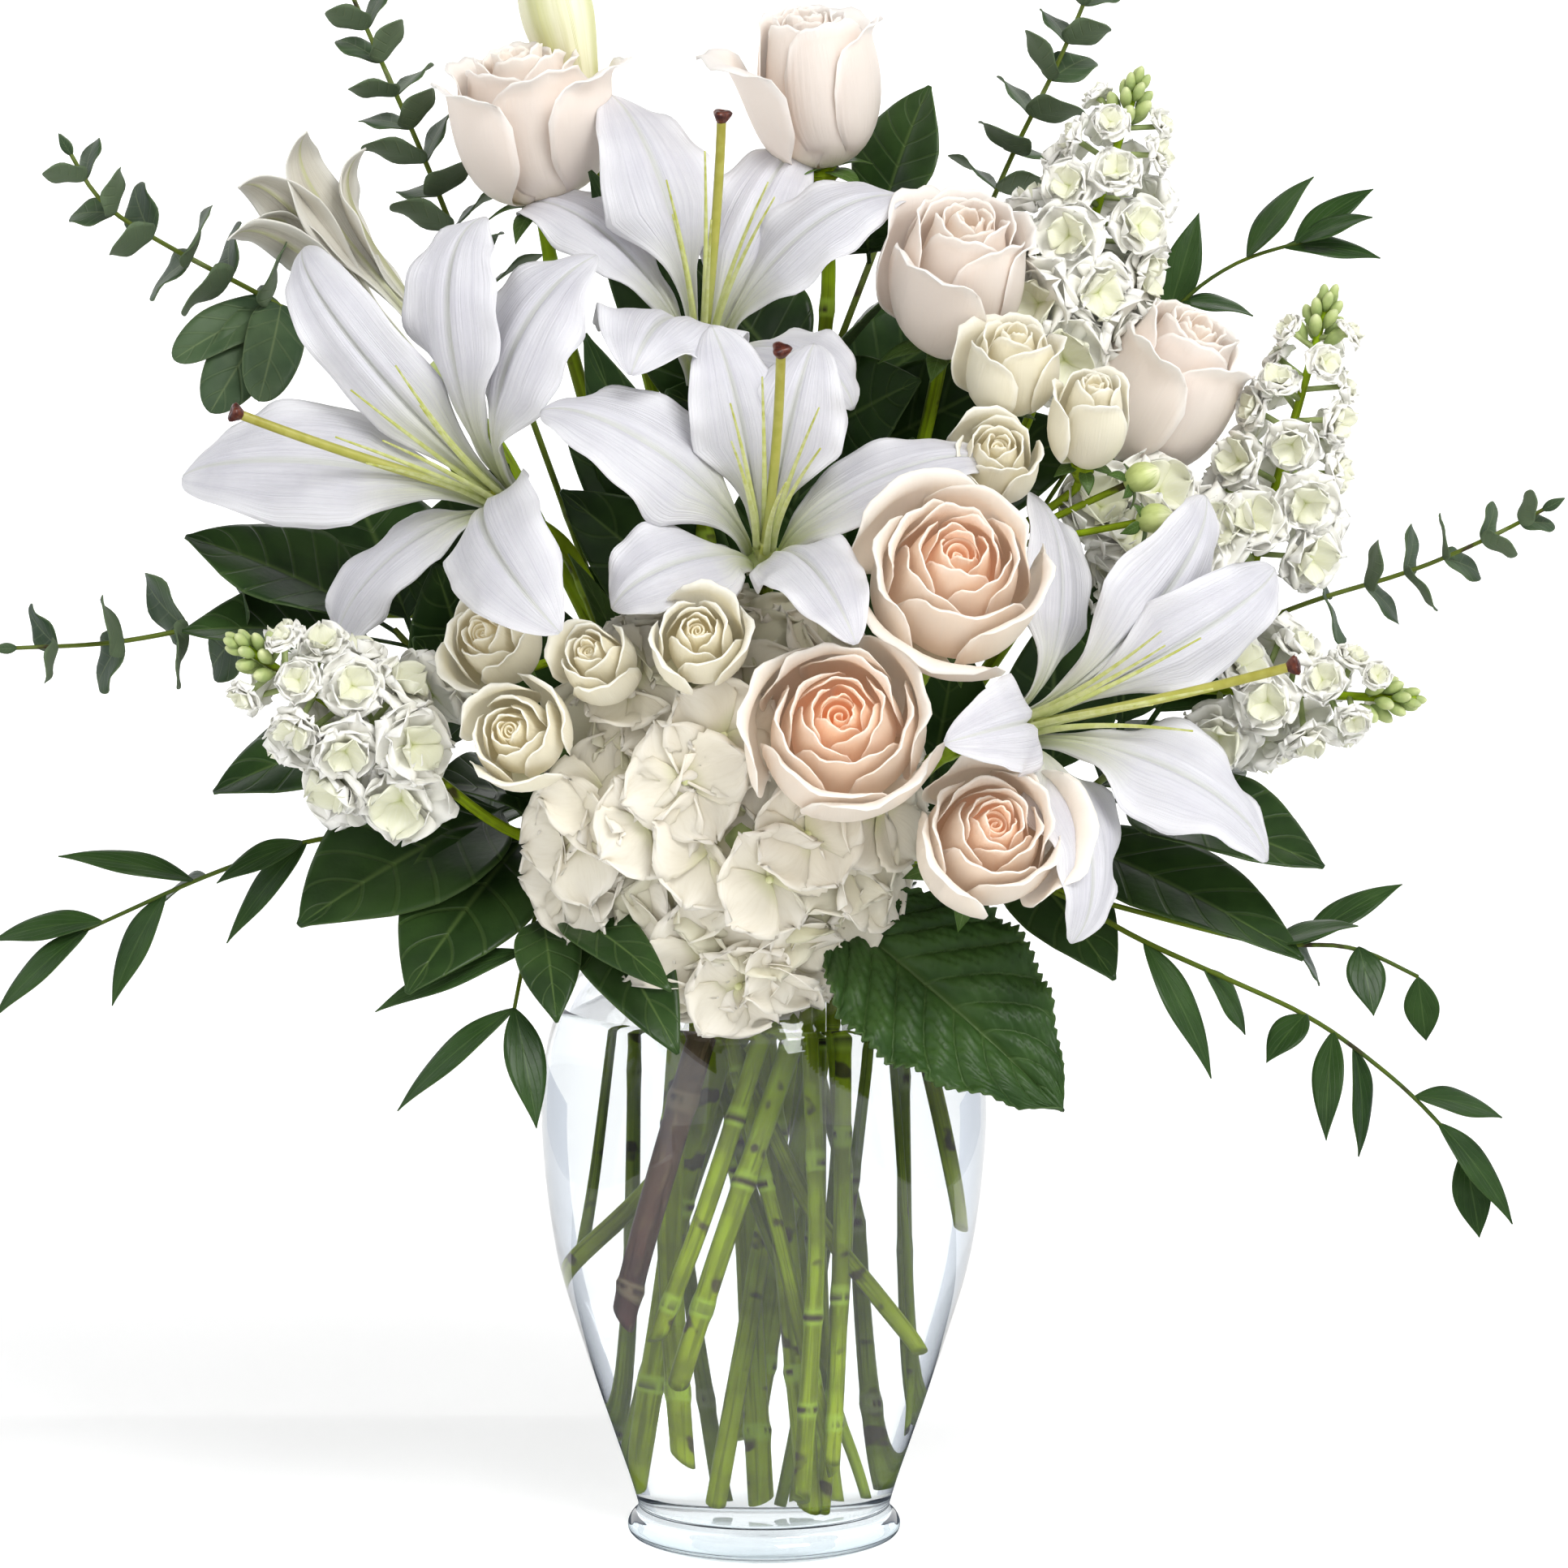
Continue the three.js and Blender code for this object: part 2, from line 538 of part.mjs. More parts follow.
// Straight stems from the foot to the neck, with a knee or two between.
function startStems() {
  return Object.entries(STEMS).map(([name, { radius, foot, slot }]) => {
    const cut = point(foot);
    const neck = vec(slot[0], slot[1], NECK.height);
    const knees = STEM_KNEES.filter((height) => height > cut.z + 20);
    const middles = knees.map((height) => between(cut, neck, (height - cut.z) / (neck.z - cut.z)));
    return { name, radius, knots: [cut, ...middles, neck] };
  });
}

function crossingAt(stem, height) {
  const { knots } = stem;
  const upper = knots.findIndex((knot) => knot.z >= height);
  if (upper < 1) return null;
  const share = (height - knots[upper - 1].z) / (knots[upper].z - knots[upper - 1].z);
  return { at: between(knots[upper - 1], knots[upper], share), upper, share };
}

function shove(stem, crossing, x, y) {
  const { upper, share } = crossing;
  const moves = [[upper - 1, 1 - share], [upper, share]];
  for (const [k, part] of moves) {
    if (k === stem.knots.length - 1) continue;
    stem.knots[k].x += x * part;
    stem.knots[k].y += y * part;
  }
}

// Pushes neighbours apart level by level until no two stems touch and none touches the glass.
function settleStems(stems, rounds = 160) {
  const lean = 1.18; // a leaning stem is wider across a level than it is round
  for (let round = 0; round < rounds; round += 1) {
    for (let height = 16; height < NECK.height; height += 8) {
      const here = stems.map((stem) => ({ stem, crossing: crossingAt(stem, height) }));
      const present = here.filter(({ crossing }) => crossing);
      for (let i = 0; i < present.length; i += 1) {
        const a = present[i];
        for (let j = i + 1; j < present.length; j += 1) {
          const b = present[j];
          const need = (a.stem.radius + b.stem.radius) * lean + 1;
          const dx = b.crossing.at.x - a.crossing.at.x;
          const dy = b.crossing.at.y - a.crossing.at.y;
          const apart = Math.hypot(dx, dy) || 1e-6;
          if (apart < need) {
            const push = (need - apart) / 2 / apart;
            shove(a.stem, a.crossing, -dx * push, -dy * push);
            shove(b.stem, b.crossing, dx * push, dy * push);
          }
        }
        const free = insideRadius(height) - a.stem.radius * lean - 1.5;
        const out = Math.hypot(a.crossing.at.x, a.crossing.at.y);
        if (out > free) {
          const back = free / out - 1;
          shove(a.stem, a.crossing, a.crossing.at.x * back, a.crossing.at.y * back);
        }
      }
    }
  }
  return new Map(stems.map((stem) => [stem.name, stem.knots]));
}

const stemKnots = settleStems(startStems());

// The whole way of a stem: up through the vase and the neck, then by its bends to its end.
function stemWay(name, bends) {
  return [...stemKnots.get(name), ...(STEMS[name].via ?? []).map(point), ...bends];
}

// The bends of a stem that carries a bloom: halfway up, then into line with the bloom.
function wayToBloom(name, base, axis, straight = 30) {
  const forward = axis.clone().normalize();
  const turn = beyond(base, forward, -straight);
  if (STEMS[name].via) return stemWay(name, [base]);
  const neck = stemKnots.get(name).at(-1);
  return stemWay(name, [between(neck, turn, 0.5), turn, base]);
}

// ---------------------------------------------------------------- vase and water

function vaseSolid() {
  const profile = [[0, 0], ...VASE.outside, ...VASE.inside, [0, VASE.floor]];
  return turned(profile, VASE.sides, new THREE.Matrix4());
}

// The space taken by the glass, without its inside.
function vaseRoom() {
  const outside = VASE.outside.map(([r, h]) => [r + LEVEL_GAP, h]);
  const inside = VASE.inside.map(([r, h]) => [r - LEVEL_GAP, h]);
  inside[0][1] += 2 * GAP;
  const profile = [[0, 0], ...outside, ...inside, [0, VASE.floor + GAP]];
  return turned(profile, VASE.sides, new THREE.Matrix4());
}

function waterSolid() {
  const bottom = VASE.floor + 2 * GAP;
  const clear = (r) => r - LEVEL_GAP;
  const wall = VASE.inside.filter(([, h]) => h < WATER_LEVEL && h > bottom);
  const profile = [
    [0, WATER_LEVEL],
    [clear(insideRadius(WATER_LEVEL)), WATER_LEVEL],
    ...wall.map(([r, h]) => [clear(r), h]),
    [clear(insideRadius(bottom)), bottom],
    [0, bottom],
  ];
  return turned(profile.reverse(), VASE.sides, new THREE.Matrix4());
}

function addVase() {
  pieces.set('vase', {
    look: 'glass',
    layers: [{ name: 'vase', order: ORDER.glass, body: vaseSolid(), room: vaseRoom() }],
  });
  const water = waterSolid();
  pieces.set('water', {
    look: 'water',
    layers: [{ name: 'water', order: ORDER.leaf + 1, body: water, room: water }],
  });
}

// ---------------------------------------------------------------- lilies

function lilyFrame(lily) {
  return { throat: point(lily.throat), axis: point(lily.axis).normalize() };
}

// A tip is read off a front view: right, up, and how far along the axis of the flower it reaches.
function fromFrontView([right, up], reach, axis) {
  const back = (reach - right * axis.x - up * axis.z) / axis.y;
  return vec(right, back, up);
}

const petalWidth = (t) => Math.sin(Math.PI * t ** 0.85) ** 0.75 + 0.22 * (1 - t) + 0.03;

// A long petal: up the funnel, out to its tip, with a grooved rib and lightly waved edges.
// In the funnel it is no wider than its share of the round, `room` times its distance out.
function lilyPetal({ base, axis, tip, half, curl, room, seed }) {
  const radial = tip.clone().sub(base);
  radial.addScaledVector(axis, -radial.dot(axis)).normalize();
  const side = cross(axis, radial);
  const long = tip.distanceTo(base);
  const ending = radial.clone().multiplyScalar(Math.cos(curl)).addScaledVector(axis, -Math.sin(curl));
  const rib = new THREE.CubicBezierCurve3(
    beyond(base, radial, 4.5),
    beyond(beyond(base, axis, long * 0.42), radial, 9),
    beyond(tip, ending, -long * 0.34),
    tip,
  );
  return (s, t) => {
    const at = rib.getPoint(t);
    const face = cross(rib.getTangent(t), side).negate();
    const out = at.clone().sub(base).dot(radial);
    const share = room * out + half * smooth((t - 0.2) * 2.2);
    const width = Math.min(half * petalWidth(Math.min(t, 0.999)), share);
    const cup = 0.3 * width * s * s * (1 - 0.8 * t);
    const wave = 0.17 * width * s * s * Math.sin(9 * t + seed + 2 * s) * smooth(t * 3);
    return at.addScaledVector(side, width * s).addScaledVector(face, cup + wave);
  };
}

// How wide a petal may be for its distance from the axis before it meets its neighbours.
function petalRooms(base, axis, tips) {
  const frame = frameAt(base, axis).invert();
  const angles = tips.map((tip) => {
    const at = tip.clone().applyMatrix4(frame);
    return Math.atan2(at.y, at.x);
  });
  return angles.map((angle, k) => {
    const gaps = angles.filter((_, j) => j !== k).map((other) => Math.acos(Math.cos(other - angle)));
    return 0.86 * Math.tan(Math.min(...gaps, 1.2) / 2);
  });
}

function lilyPetals({ base, axis, petals, seed }, grow) {
  const rooms = petalRooms(base, axis, petals.map(({ tip }) => tip));
  const sheets = petals.map((petal, k) => {
    const surface = lilyPetal({ base, axis, room: rooms[k], seed: seed + k, ...petal });
    return sheet(surface, { across: 2, along: 4, thick: LILY.petal, grow });
  });
  return [turned(LILY.cone, 6, frameAt(base, axis), { grow }), ...sheets];
}

function addLily(lily, number) {
  const { throat, axis } = lilyFrame(lily);
  const base = beyond(throat, axis, -LILY.depth);
  const name = `lily_${number}`;
  const petals = lily.petals.map(({ tip, reach, half, curl }) => (
    { tip: throat.clone().add(fromFrontView(tip, reach, axis)), half, curl }
  ));
  const flower = { base, axis, petals, seed: number * 7 };
  add(`${name}_petals`, 'lily', ORDER.lily, (grow) => lilyPetals(flower, grow));
  add(`${name}_stamens`, 'stamen', ORDER.stamen, (grow) => lilyStamens(lily, base, axis, number, grow));
}

function lilyStamens(lily, base, axis, number, grow) {
  const hub = turned(LILY.hub, 6, frameAt(base, axis), { grow });
  const end = beyond(base, axis, LILY.depth).add(fromFrontView(lily.pistil, LILY.pistil.long, axis));
  const start = beyond(base, axis, 12);
  const pistil = stalk([start, end], LILY.pistil.radius, { grow });
  const stigma = egg(...LILY.pistil.tip, frameAt(beyond(end, axis, -2), axis), { grow });
  const filaments = [0, 1, 2, 3, 4, 5].map((k) => {
    const angle = (k + 0.5 + 0.22 * draw(number * 10 + k)) * (Math.PI / 3);
    const frame = frameAt(base, axis, angle);
    const long = LILY.depth + LILY.stamen.long + 4 * draw(number * 20 + k);
    const way = [vec(3, 0, 12), vec(15 + 3 * draw(k + number), 0, long)];
    const line = way.map((p) => p.applyMatrix4(frame));
    return stalk(line, LILY.stamen.radius, { sides: 3, tip: 0.55, grow });
  });
  return [hub, pistil, stigma, ...filaments];
}

// The flower that is just opening is still a narrow trumpet with six pointed lips.
function addOpeningLily() {
  const { base, axis, lips, tall, wide, wall } = OPENING_LILY;
  const flare = [[0.12, 0], [0.26, 0.3], [0.5, 0.6], [1, 0.8]];
  const outside = flare.map(([r, h]) => [r * wide, h * tall]);
  const inside = flare.slice(1).reverse().map(([r, h]) => [r * wide - wall, h * tall + wall / 2]);
  const profile = [[0, -4], ...outside, ...inside, [0, 0.24 * tall]];
  const lipRings = [outside.length, outside.length + 1];
  const relief = (angle, ring) => {
    const crest = Math.cos(lips * angle);
    const lip = lipRings.includes(ring);
    return { out: 1 + (lip ? 0.1 : 0.04) * crest, up: (lip ? 0.2 * tall : 0) * crest };
  };
  const frame = frameAt(point(base), point(axis));
  add('lily_5_petals', 'lily', ORDER.lily, (grow) => [turned(profile, 2 * lips, frame, { grow, relief })]);
}

function addLilyBud() {
  const base = point(LILY_BUD.base);
  const axis = point(LILY_BUD.tip).sub(base);
  const tall = axis.length();
  const profile = [[0, 0], [0.42, 0.03], [0.8, 0.3], [1, 0.55], [0.72, 0.82], [0, 1]];
  const outline = profile.map(([r, h]) => [r * LILY_BUD.radius, h * tall]);
  const relief = (angle) => ({ out: 1 + 0.09 * Math.cos(3 * angle), up: 0 });
  const frame = frameAt(base, axis);
  add('lily_6_bud', 'bud', ORDER.lily, (grow) => [turned(outline, 9, frame, { grow, relief })]);
}

function addLilyStems() {
  LILIES.forEach((lily, index) => {
    const { throat, axis } = lilyFrame(lily);
    const name = `lily_${index + 1}`;
    const way = wayToBloom(name, beyond(throat, axis, -LILY.depth - 5), axis);
    const side = [];
    if (index === 0) side.push(lilySideStem(way, point(OPENING_LILY.base), point(OPENING_LILY.axis)));
    if (index === 1) {
      const base = point(LILY_BUD.base);
      side.push(lilySideStem(way, base, point(LILY_BUD.tip).sub(base)));
    }
    const { radius } = STEMS[name];
    add(`${name}_stem`, 'stem', ORDER.stem, (grow) => [
      stalk(way, radius, { tip: 0.8, grow }),
      ...side.map((branch) => stalk(branch, LILY.branch, { grow })),
    ]);
  });
}

// A side stem leaves the main one below its last bend and runs to the base of another flower.
function lilySideStem(way, base, axis) {
  const root = way.at(-3);
  const forward = axis.clone().normalize();
  return [root, beyond(base, forward, -32), beyond(base, forward, -5)];
}

// ---------------------------------------------------------------- roses

// A rose from below its base to its heart. Each ring of the profile is a lip or a hollow, and each
// lip has its petals' rounded tips raised on it, half a petal round from those outside it.
const WHORLS = [
  { r: 0, h: 0 },
  { r: 0.42, h: 0.03 },
  { r: 0.9, h: 0.3 },
  { r: 0.93, h: 0.72, petals: 5, turn: 0, out: 0.16, up: 0.08 },
  { r: 0.74, h: 0.6, petals: 5, turn: 0, out: 0.05, up: 0 },
  { r: 0.66, h: 0.9, petals: 5, turn: Math.PI, out: 0.1, up: 0.05 },
  { r: 0.4, h: 0.78, petals: 5, turn: Math.PI, out: 0.04, up: 0 },
  { r: 0.3, h: 1, petals: 5, turn: 0, out: 0.1, up: 0.03 },
  { r: 0, h: 0.86 },
];

function roseBloom({ at, axis, radius, height, flare = 0.14 }, seed, whorls, sides, grow) {
  const forward = point(axis).normalize();
  const frame = frameAt(beyond(point(at), forward, -height / 2), forward, seed);
  const relief = (angle, ring) => {
    const { petals = 0, turn = 0, out = 0, up = 0 } = whorls[ring];
    const crest = petals ? Math.sin(petals * angle + turn) : 0;
    return { out: 1 + (out + flare * 0.3) * crest, up: up * height * crest };
  };
  const profile = whorls.map(({ r, h }) => [r * radius, h * height]);
  return [turned(profile, sides, frame, { grow, relief })];
}

// A plain form round a whole bloom, for cutting its neighbours clear.
function roseCover({ at, axis, radius, height }, seed) {
  const forward = point(axis).normalize();
  const frame = frameAt(beyond(point(at), forward, -height / 2), forward, seed);
  const profile = [[0, 0], [0.5, 0], [1.2, 0.34], [1.28, 0.8], [0.9, 1.02], [0, 1.08]];
  return turned(profile.map(([r, h]) => [r * radius, h * height]), 8, frame, { grow: GAP });
}

// Small roses have one whorl less.
const SMALL_WHORLS = WHORLS.filter((_, ring) => ring !== 5 && ring !== 6);

function addRoses() {
  ROSES.forEach((rose, index) => {
    const name = `rose_${index + 1}`;
    const axis = point(rose.axis).normalize();
    const base = beyond(point(rose.at), axis, -rose.height / 2 - 1);
    const way = [...wayToBloom(name, beyond(base, axis, -ROSE.calyx), axis), base];
    const { radius } = STEMS[name];
    add(`${name}_stem`, 'stem', ORDER.stem, (grow) => [stalk(way, radius, { cup: ROSE.calyx, grow })]);
    const bloom = (grow) => roseBloom(rose, index + 1, WHORLS, 10, grow);
    add(`${name}_bloom`, rose.look, ORDER.rose, bloom, roseCover(rose, index + 1));
  });
}

// Small roses, several to a branching stem.
function addSprayRoses() {
  SPRAY_ROSES.forEach((rose, index) => {
    const name = `spray_rose_${index + 1}_bloom`;
    const bloom = (grow) => roseBloom(rose, index + 11, SMALL_WHORLS, 10, grow);
    add(name, 'ivory', ORDER.spray, bloom, roseCover(rose, index + 11));
  });
  for (const side of ['left', 'right']) {
    const way = stemWay(`spray_${side}`, []);
    const fork = way.at(-1);
    const { radius } = STEMS[`spray_${side}`];
    const blooms = SPRAY_ROSES.filter((rose) => rose.side === side);
    add(`spray_rose_stem_${side}`, 'stem', ORDER.stem, (grow) => {
      const solids = [stalk(way, radius, { grow })];
      for (const rose of blooms) {
        const axis = point(rose.axis).normalize();
        const base = beyond(point(rose.at), axis, -rose.height / 2 - 1);
        const turn = beyond(base, axis, -12);
        const twig = [fork, turn, beyond(base, axis, -ROSE.smallCalyx), base];
        solids.push(stalk(twig, SPRAY.twig, { sides: 3, cup: ROSE.smallCalyx, grow }));
      }
      if (side === 'right') solids.push(...sprayBuds(fork, grow));
      return solids;
    });
  }
}

function sprayBuds(fork, grow) {
  const { twig, radius, tall } = SPRAY.bud;
  return SPRAY.buds.flatMap((at) => {
    const base = point(at);
    const axis = base.clone().sub(fork).normalize();
    const bud = egg(radius, tall, frameAt(beyond(base, axis, -3), axis), { grow });
    return [stalk([fork, base], twig, { sides: 3, grow }), bud];
  });
}

// ---------------------------------------------------------------- hydrangea and stock

// Directions spread evenly over a ball.
function spreadOver(count) {
  const golden = Math.PI * (3 - Math.sqrt(5));
  return Array.from({ length: count }, (_, k) => {
    const z = 1 - (2 * (k + 0.5)) / count;
    const r = Math.sqrt(1 - z * z);
    return vec(r * Math.cos(golden * k), r * Math.sin(golden * k), z);
  });
}

// One floret: four raised petals round its eye.
function hydrangeaFloret(way, size, centre, grow) {
  const at = way.clone().multiply(size).add(centre);
  const outward = way.clone().divide(size).normalize();
  const relief = (angle, ring) => {
    const crest = ring === 1 ? Math.cos(4 * angle) : 0;
    return { out: 1 + 0.2 * crest, up: 3.5 * crest };
  };
  return turned(HYDRANGEA.floret, 8, frameAt(at, outward, way.x * 7), { grow, relief });
}

function addHydrangea() {
  const centre = point(HYDRANGEA.centre);
  const size = point(HYDRANGEA.head);
  const seats = spreadOver(HYDRANGEA.florets).filter((way) => way.y < HYDRANGEA.stemSide);
  add('hydrangea_head', 'ivory', ORDER.hydrangea, (grow) => {
    const half = size.clone().multiplyScalar(HYDRANGEA.core).addScalar(grow);
    const placing = new THREE.Matrix4().compose(centre, new THREE.Quaternion(), half);
    const core = solidOf(new THREE.IcosahedronGeometry(1, 1).applyMatrix4(placing));
    return [core, ...seats.map((way) => hydrangeaFloret(way, size, centre, grow))];
  });
  const way = stemWay('hydrangea', []);
  const { root, tip, half, face, stalk: leafStalk } = HYDRANGEA_LEAF;
  const leaf = leafSurface({
    root: point(root), tip: point(tip), half, face: point(face), arch: 0.1, fold: 0.12, teeth: 9,
  });
  const neck = way.at(-3);
  add('hydrangea_stem', 'purple', ORDER.stem, (grow) => [
    stalk(way, STEMS.hydrangea.radius, { grow }),
    stalk([neck, ...leafStalk.map(point)], 2, { grow }),
  ]);
  add('hydrangea_stem', 'purple', ORDER.rose, (grow) => (
    [sheet(leaf, { across: 4, along: 9, thick: 1, grow })]
  ));
}

function stockRun({ base, tip }) {
  const foot = point(base);
  const run = point(tip).sub(foot);
  return { foot, long: run.length(), axis: run.normalize() };
}

// Tiers of four florets round the stem, each tier turned half a floret from the one below.
function stockFlorets({ wide, narrow, tiers }, long, frame, grow) {
  const profile = [[0, -3]];
  for (let tier = 0; tier < tiers; tier += 1) {
    const share = tier / tiers;
    const radius = THREE.MathUtils.lerp(wide, narrow, share ** 1.5);
    const tall = (long - STOCK.buds.tall - 1) / tiers;
    const low = tall * tier;
    profile.push([radius * 0.9, low + 0.12 * tall]);
    profile.push([radius, low + 0.62 * tall]);
    profile.push([radius * 0.58, low + 0.98 * tall]);
  }
  profile.push([0, long - STOCK.buds.tall]);
  const relief = (angle, ring) => {
    const tier = Math.floor((ring - 1) / 3);
    const crest = Math.cos(4 * angle + tier * Math.PI);
    return { out: 1 + (ring % 3 ? 0.2 : 0.05) * crest, up: (ring % 3 === 2 ? 3.5 : 0) * crest };
  };
  return [turned(profile, 8, frame, { grow, relief })];
}

function addStock(stock, number) {
  const { foot, long, axis } = stockRun(stock);
  const name = `stock_${number}`;
  const frame = frameAt(foot, axis);
  add(`${name}_florets`, 'stock', ORDER.stock, (grow) => stockFlorets(stock, long, frame, grow));
  add(`${name}_stem`, 'stem', ORDER.stem, (grow) => {
    const way = wayToBloom(name, foot, axis, 22);
    const top = beyond(foot, axis, long - STOCK.buds.tall / 2);
    return [stalk([...way, top], STOCK.stem, { tip: 0.6, grow }), budCluster(long, frame, grow)];
  });
}

// The closed green buds at the top of a spike, in two rounds.
function budCluster(long, frame, grow) {
  const { tall, wide } = STOCK.buds;
  const rounds = [[0, 0], [0.7, 0.1], [1, 0.34], [0.6, 0.5], [0.62, 0.7], [0, 1]];
  const profile = rounds.map(([r, h]) => [r * wide, long + (h - 1) * tall]);
  const relief = (angle, ring) => ({ out: 1 + 0.25 * Math.cos(4 * angle + (ring > 3 ? Math.PI : 0)), up: 0 });
  return turned(profile, 8, frame, { grow, relief });
}

// ---------------------------------------------------------------- greens

const leafWidth = (t) => Math.sin(Math.PI * t ** 0.78) ** 0.85 + 0.05;
const stalkedWidth = (t) => (t < STALK_SHARE ? 0.05 : leafWidth((t - STALK_SHARE) / (1 - STALK_SHARE)));

// A leaf folded along its rib and arched from root to tip, its upper face towards `face`.
function leafSurface({
  root, tip, half, outline = leafWidth, face = UP,
  arch = 0.12, fold = 0.18, wave = 0, teeth = 0,
}) {
  const run = tip.clone().sub(root);
  const side = cross(run, face);
  const top = cross(side, run);
  const crest = beyond(between(root, tip, 0.5), top, arch * run.length());
  const rib = new THREE.QuadraticBezierCurve3(root, crest, tip);
  return (s, t) => {
    const tooth = teeth && Math.abs(s) > 0.9 ? 1 + 0.09 * Math.cos(Math.PI * teeth * t) : 1;
    const width = half * outline(Math.min(t, 0.995)) * tooth * s;
    const lift = fold * Math.abs(width) + wave * Math.abs(width) * s * s * Math.sin(8 * t + half);
    return rib.getPoint(t).addScaledVector(side, width).addScaledVector(top, lift);
  };
}

// The point of a row of points joined by straight lines that lies nearest to `at`.
function nearestOn(way, at) {
  let best = way[0];
  for (let k = 1; k < way.length; k += 1) {
    const here = new THREE.Line3(way[k - 1], way[k]).closestPointToPoint(at, true, vec(0, 0, 0));
    if (here.distanceTo(at) < best.distanceTo(at)) best = here;
  }
  return best;
}

// A row of straight twig pieces, as one path that knows its length.
function twigPath(way) {
  const path = new THREE.CurvePath();
  for (let k = 1; k < way.length; k += 1) path.add(new THREE.LineCurve3(way[k - 1], way[k]));
  return path;
}

// Opposite pairs, each turned a quarter from the last and smaller towards the tip.
function leafPairs(way, { length, half, start, pairs }, grow) {
  const solids = [];
  const path = twigPath(way);
  for (let k = 0; k < pairs; k += 1) {
    const share = start + ((0.98 - start) * (k + 0.4)) / pairs;
    const seat = path.getPointAt(share);
    const axis = path.getTangentAt(share);
    const size = 1 - 0.45 * (k / pairs);
    for (const turn of [0, Math.PI]) {
      const out = levelSide(axis).applyAxisAngle(axis, turn + Math.PI * (0.25 + 0.5 * (k % 2)));
      const reach = beyond(out, axis, 0.25).normalize();
      const root = beyond(seat, out, 0.4);
      const tip = beyond(seat, reach, length * size);
      const leaf = leafSurface({ root, tip, half: half * size, face: axis, arch: 0.1 });
      solids.push(sheet(leaf, { across: 1, along: 2, thick: 1, grow }));
    }
  }
  return solids;
}

function addEucalyptus(name, { route, leaf, fork, extra = [] }) {
  const way = stemWay(name, route.map(point));
  const above = route.map(point);
  const side = fork ? [point(route[fork.from - 1]), ...fork.route.map(point)] : null;
  const { radius } = STEMS[name];
  add(name, 'gum', ORDER.stem, (grow) => {
    const solids = [stalk(way, radius, { tip: 0.5, grow })];
    if (side) solids.push(stalk(side, 1.4, { tip: 0.6, grow }));
    return solids;
  });
  add(name, 'gum', ORDER.leaf, (grow) => {
    const solids = leafPairs(above, leaf, grow);
    if (side) solids.push(...leafPairs(side, fork.leaf, grow));
    for (const { root, tip, half } of extra) {
      const surface = leafSurface({ root: point(root), tip: point(tip), half });
      solids.push(sheet(surface, { across: 2, along: 2, thick: 1, grow }));
    }
    return solids;
  });
}

function addRuscus(name, { route, fork, leaves }) {
  const above = route.map(point);
  const way = stemWay(name, above);
  const side = fork ? [above[fork.from], ...fork.route.map(point)] : above;
  const { radius } = STEMS[name];
  add(name, 'ruscus', ORDER.stem, (grow) => {
    const solids = [stalk(way, radius, { tip: 0.6, grow })];
    if (fork) solids.push(stalk(side, 1, { tip: 0.8, grow }));
    return solids;
  });
  add(name, 'ruscus', ORDER.leaf, (grow) => leaves.map(([root, tip], k) => {
    const given = point(root);
    const seats = [nearestOn(above, given), nearestOn(side, given)];
    seats.sort((a, b) => a.distanceTo(given) - b.distanceTo(given));
    const face = vec(0.4 * draw(k + 3), -0.7, 1).normalize();
    const surface = leafSurface({ root: seats[0], tip: point(tip), half: RUSCUS_LEAF.half, face });
    return sheet(surface, { across: 1, along: 2, thick: 1, grow });
  }));
}

function addSalal(name, { route, leaves }) {
  const bends = route.map(point);
  const { radius } = STEMS[name];
  add(name, 'salal', ORDER.stem, (grow) => [
    stalk(stemWay(name, bends), radius, { tip: 0.7, grow }),
  ]);
  const below = [stemKnots.get(name).at(-1), ...bends];
  const down = bends.map((bend, k) => below[k].clone().sub(bend).normalize());
  add(name, 'salal', ORDER.leaf, (grow) => leaves.map(({ on, tip, half }, k) => {
    const face = vec(0.3 * draw(k), -0.55, 1).normalize();
    const lower = leaves.slice(0, k).filter((leaf) => leaf.on === on).length;
    const root = beyond(bends[on], down[on], LEAF_STEP * (lower + 0.4));
    const shape = { root, tip: point(tip), half, face, outline: stalkedWidth, arch: 0.09, wave: 0.1 };
    return sheet(leafSurface(shape), { across: 2, along: 3, thick: 1.2, grow });
  }));
}

// ---------------------------------------------------------------- the bouquet

addVase();
addLilyStems();
LILIES.forEach((lily, index) => addLily(lily, index + 1));
addOpeningLily();
addLilyBud();
addRoses();
addSprayRoses();
addHydrangea();
STOCKS.forEach((stock, index) => addStock(stock, index + 1));
Object.entries(EUCALYPTUS).forEach(([name, twig]) => addEucalyptus(name, twig));
Object.entries(RUSCUS).forEach(([name, twig]) => addRuscus(name, twig));
Object.entries(SALAL).forEach(([name, twig]) => addSalal(name, twig));
clearOfNeighbours();

const bouquet = new THREE.Group();
for (const [name, piece] of pieces) {
  const material = new THREE.MeshStandardMaterial(LOOKS[piece.look]);
  const mesh = new THREE.Mesh(geometryOf(wholeBody(piece)), material);
  mesh.name = name;
  bouquet.add(mesh);
}

export default bouquet;
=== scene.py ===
"""A bouquet of lilies, roses, hydrangea, stock and greens in a clear glass vase of water.

Sizes and places are in millimetres, in the frame of the CAD model: +Z up, -Y to the front.
Each piece is laid over the CAD node that it replaces. The stage, the lights and the camera are in
metres.
"""
import math

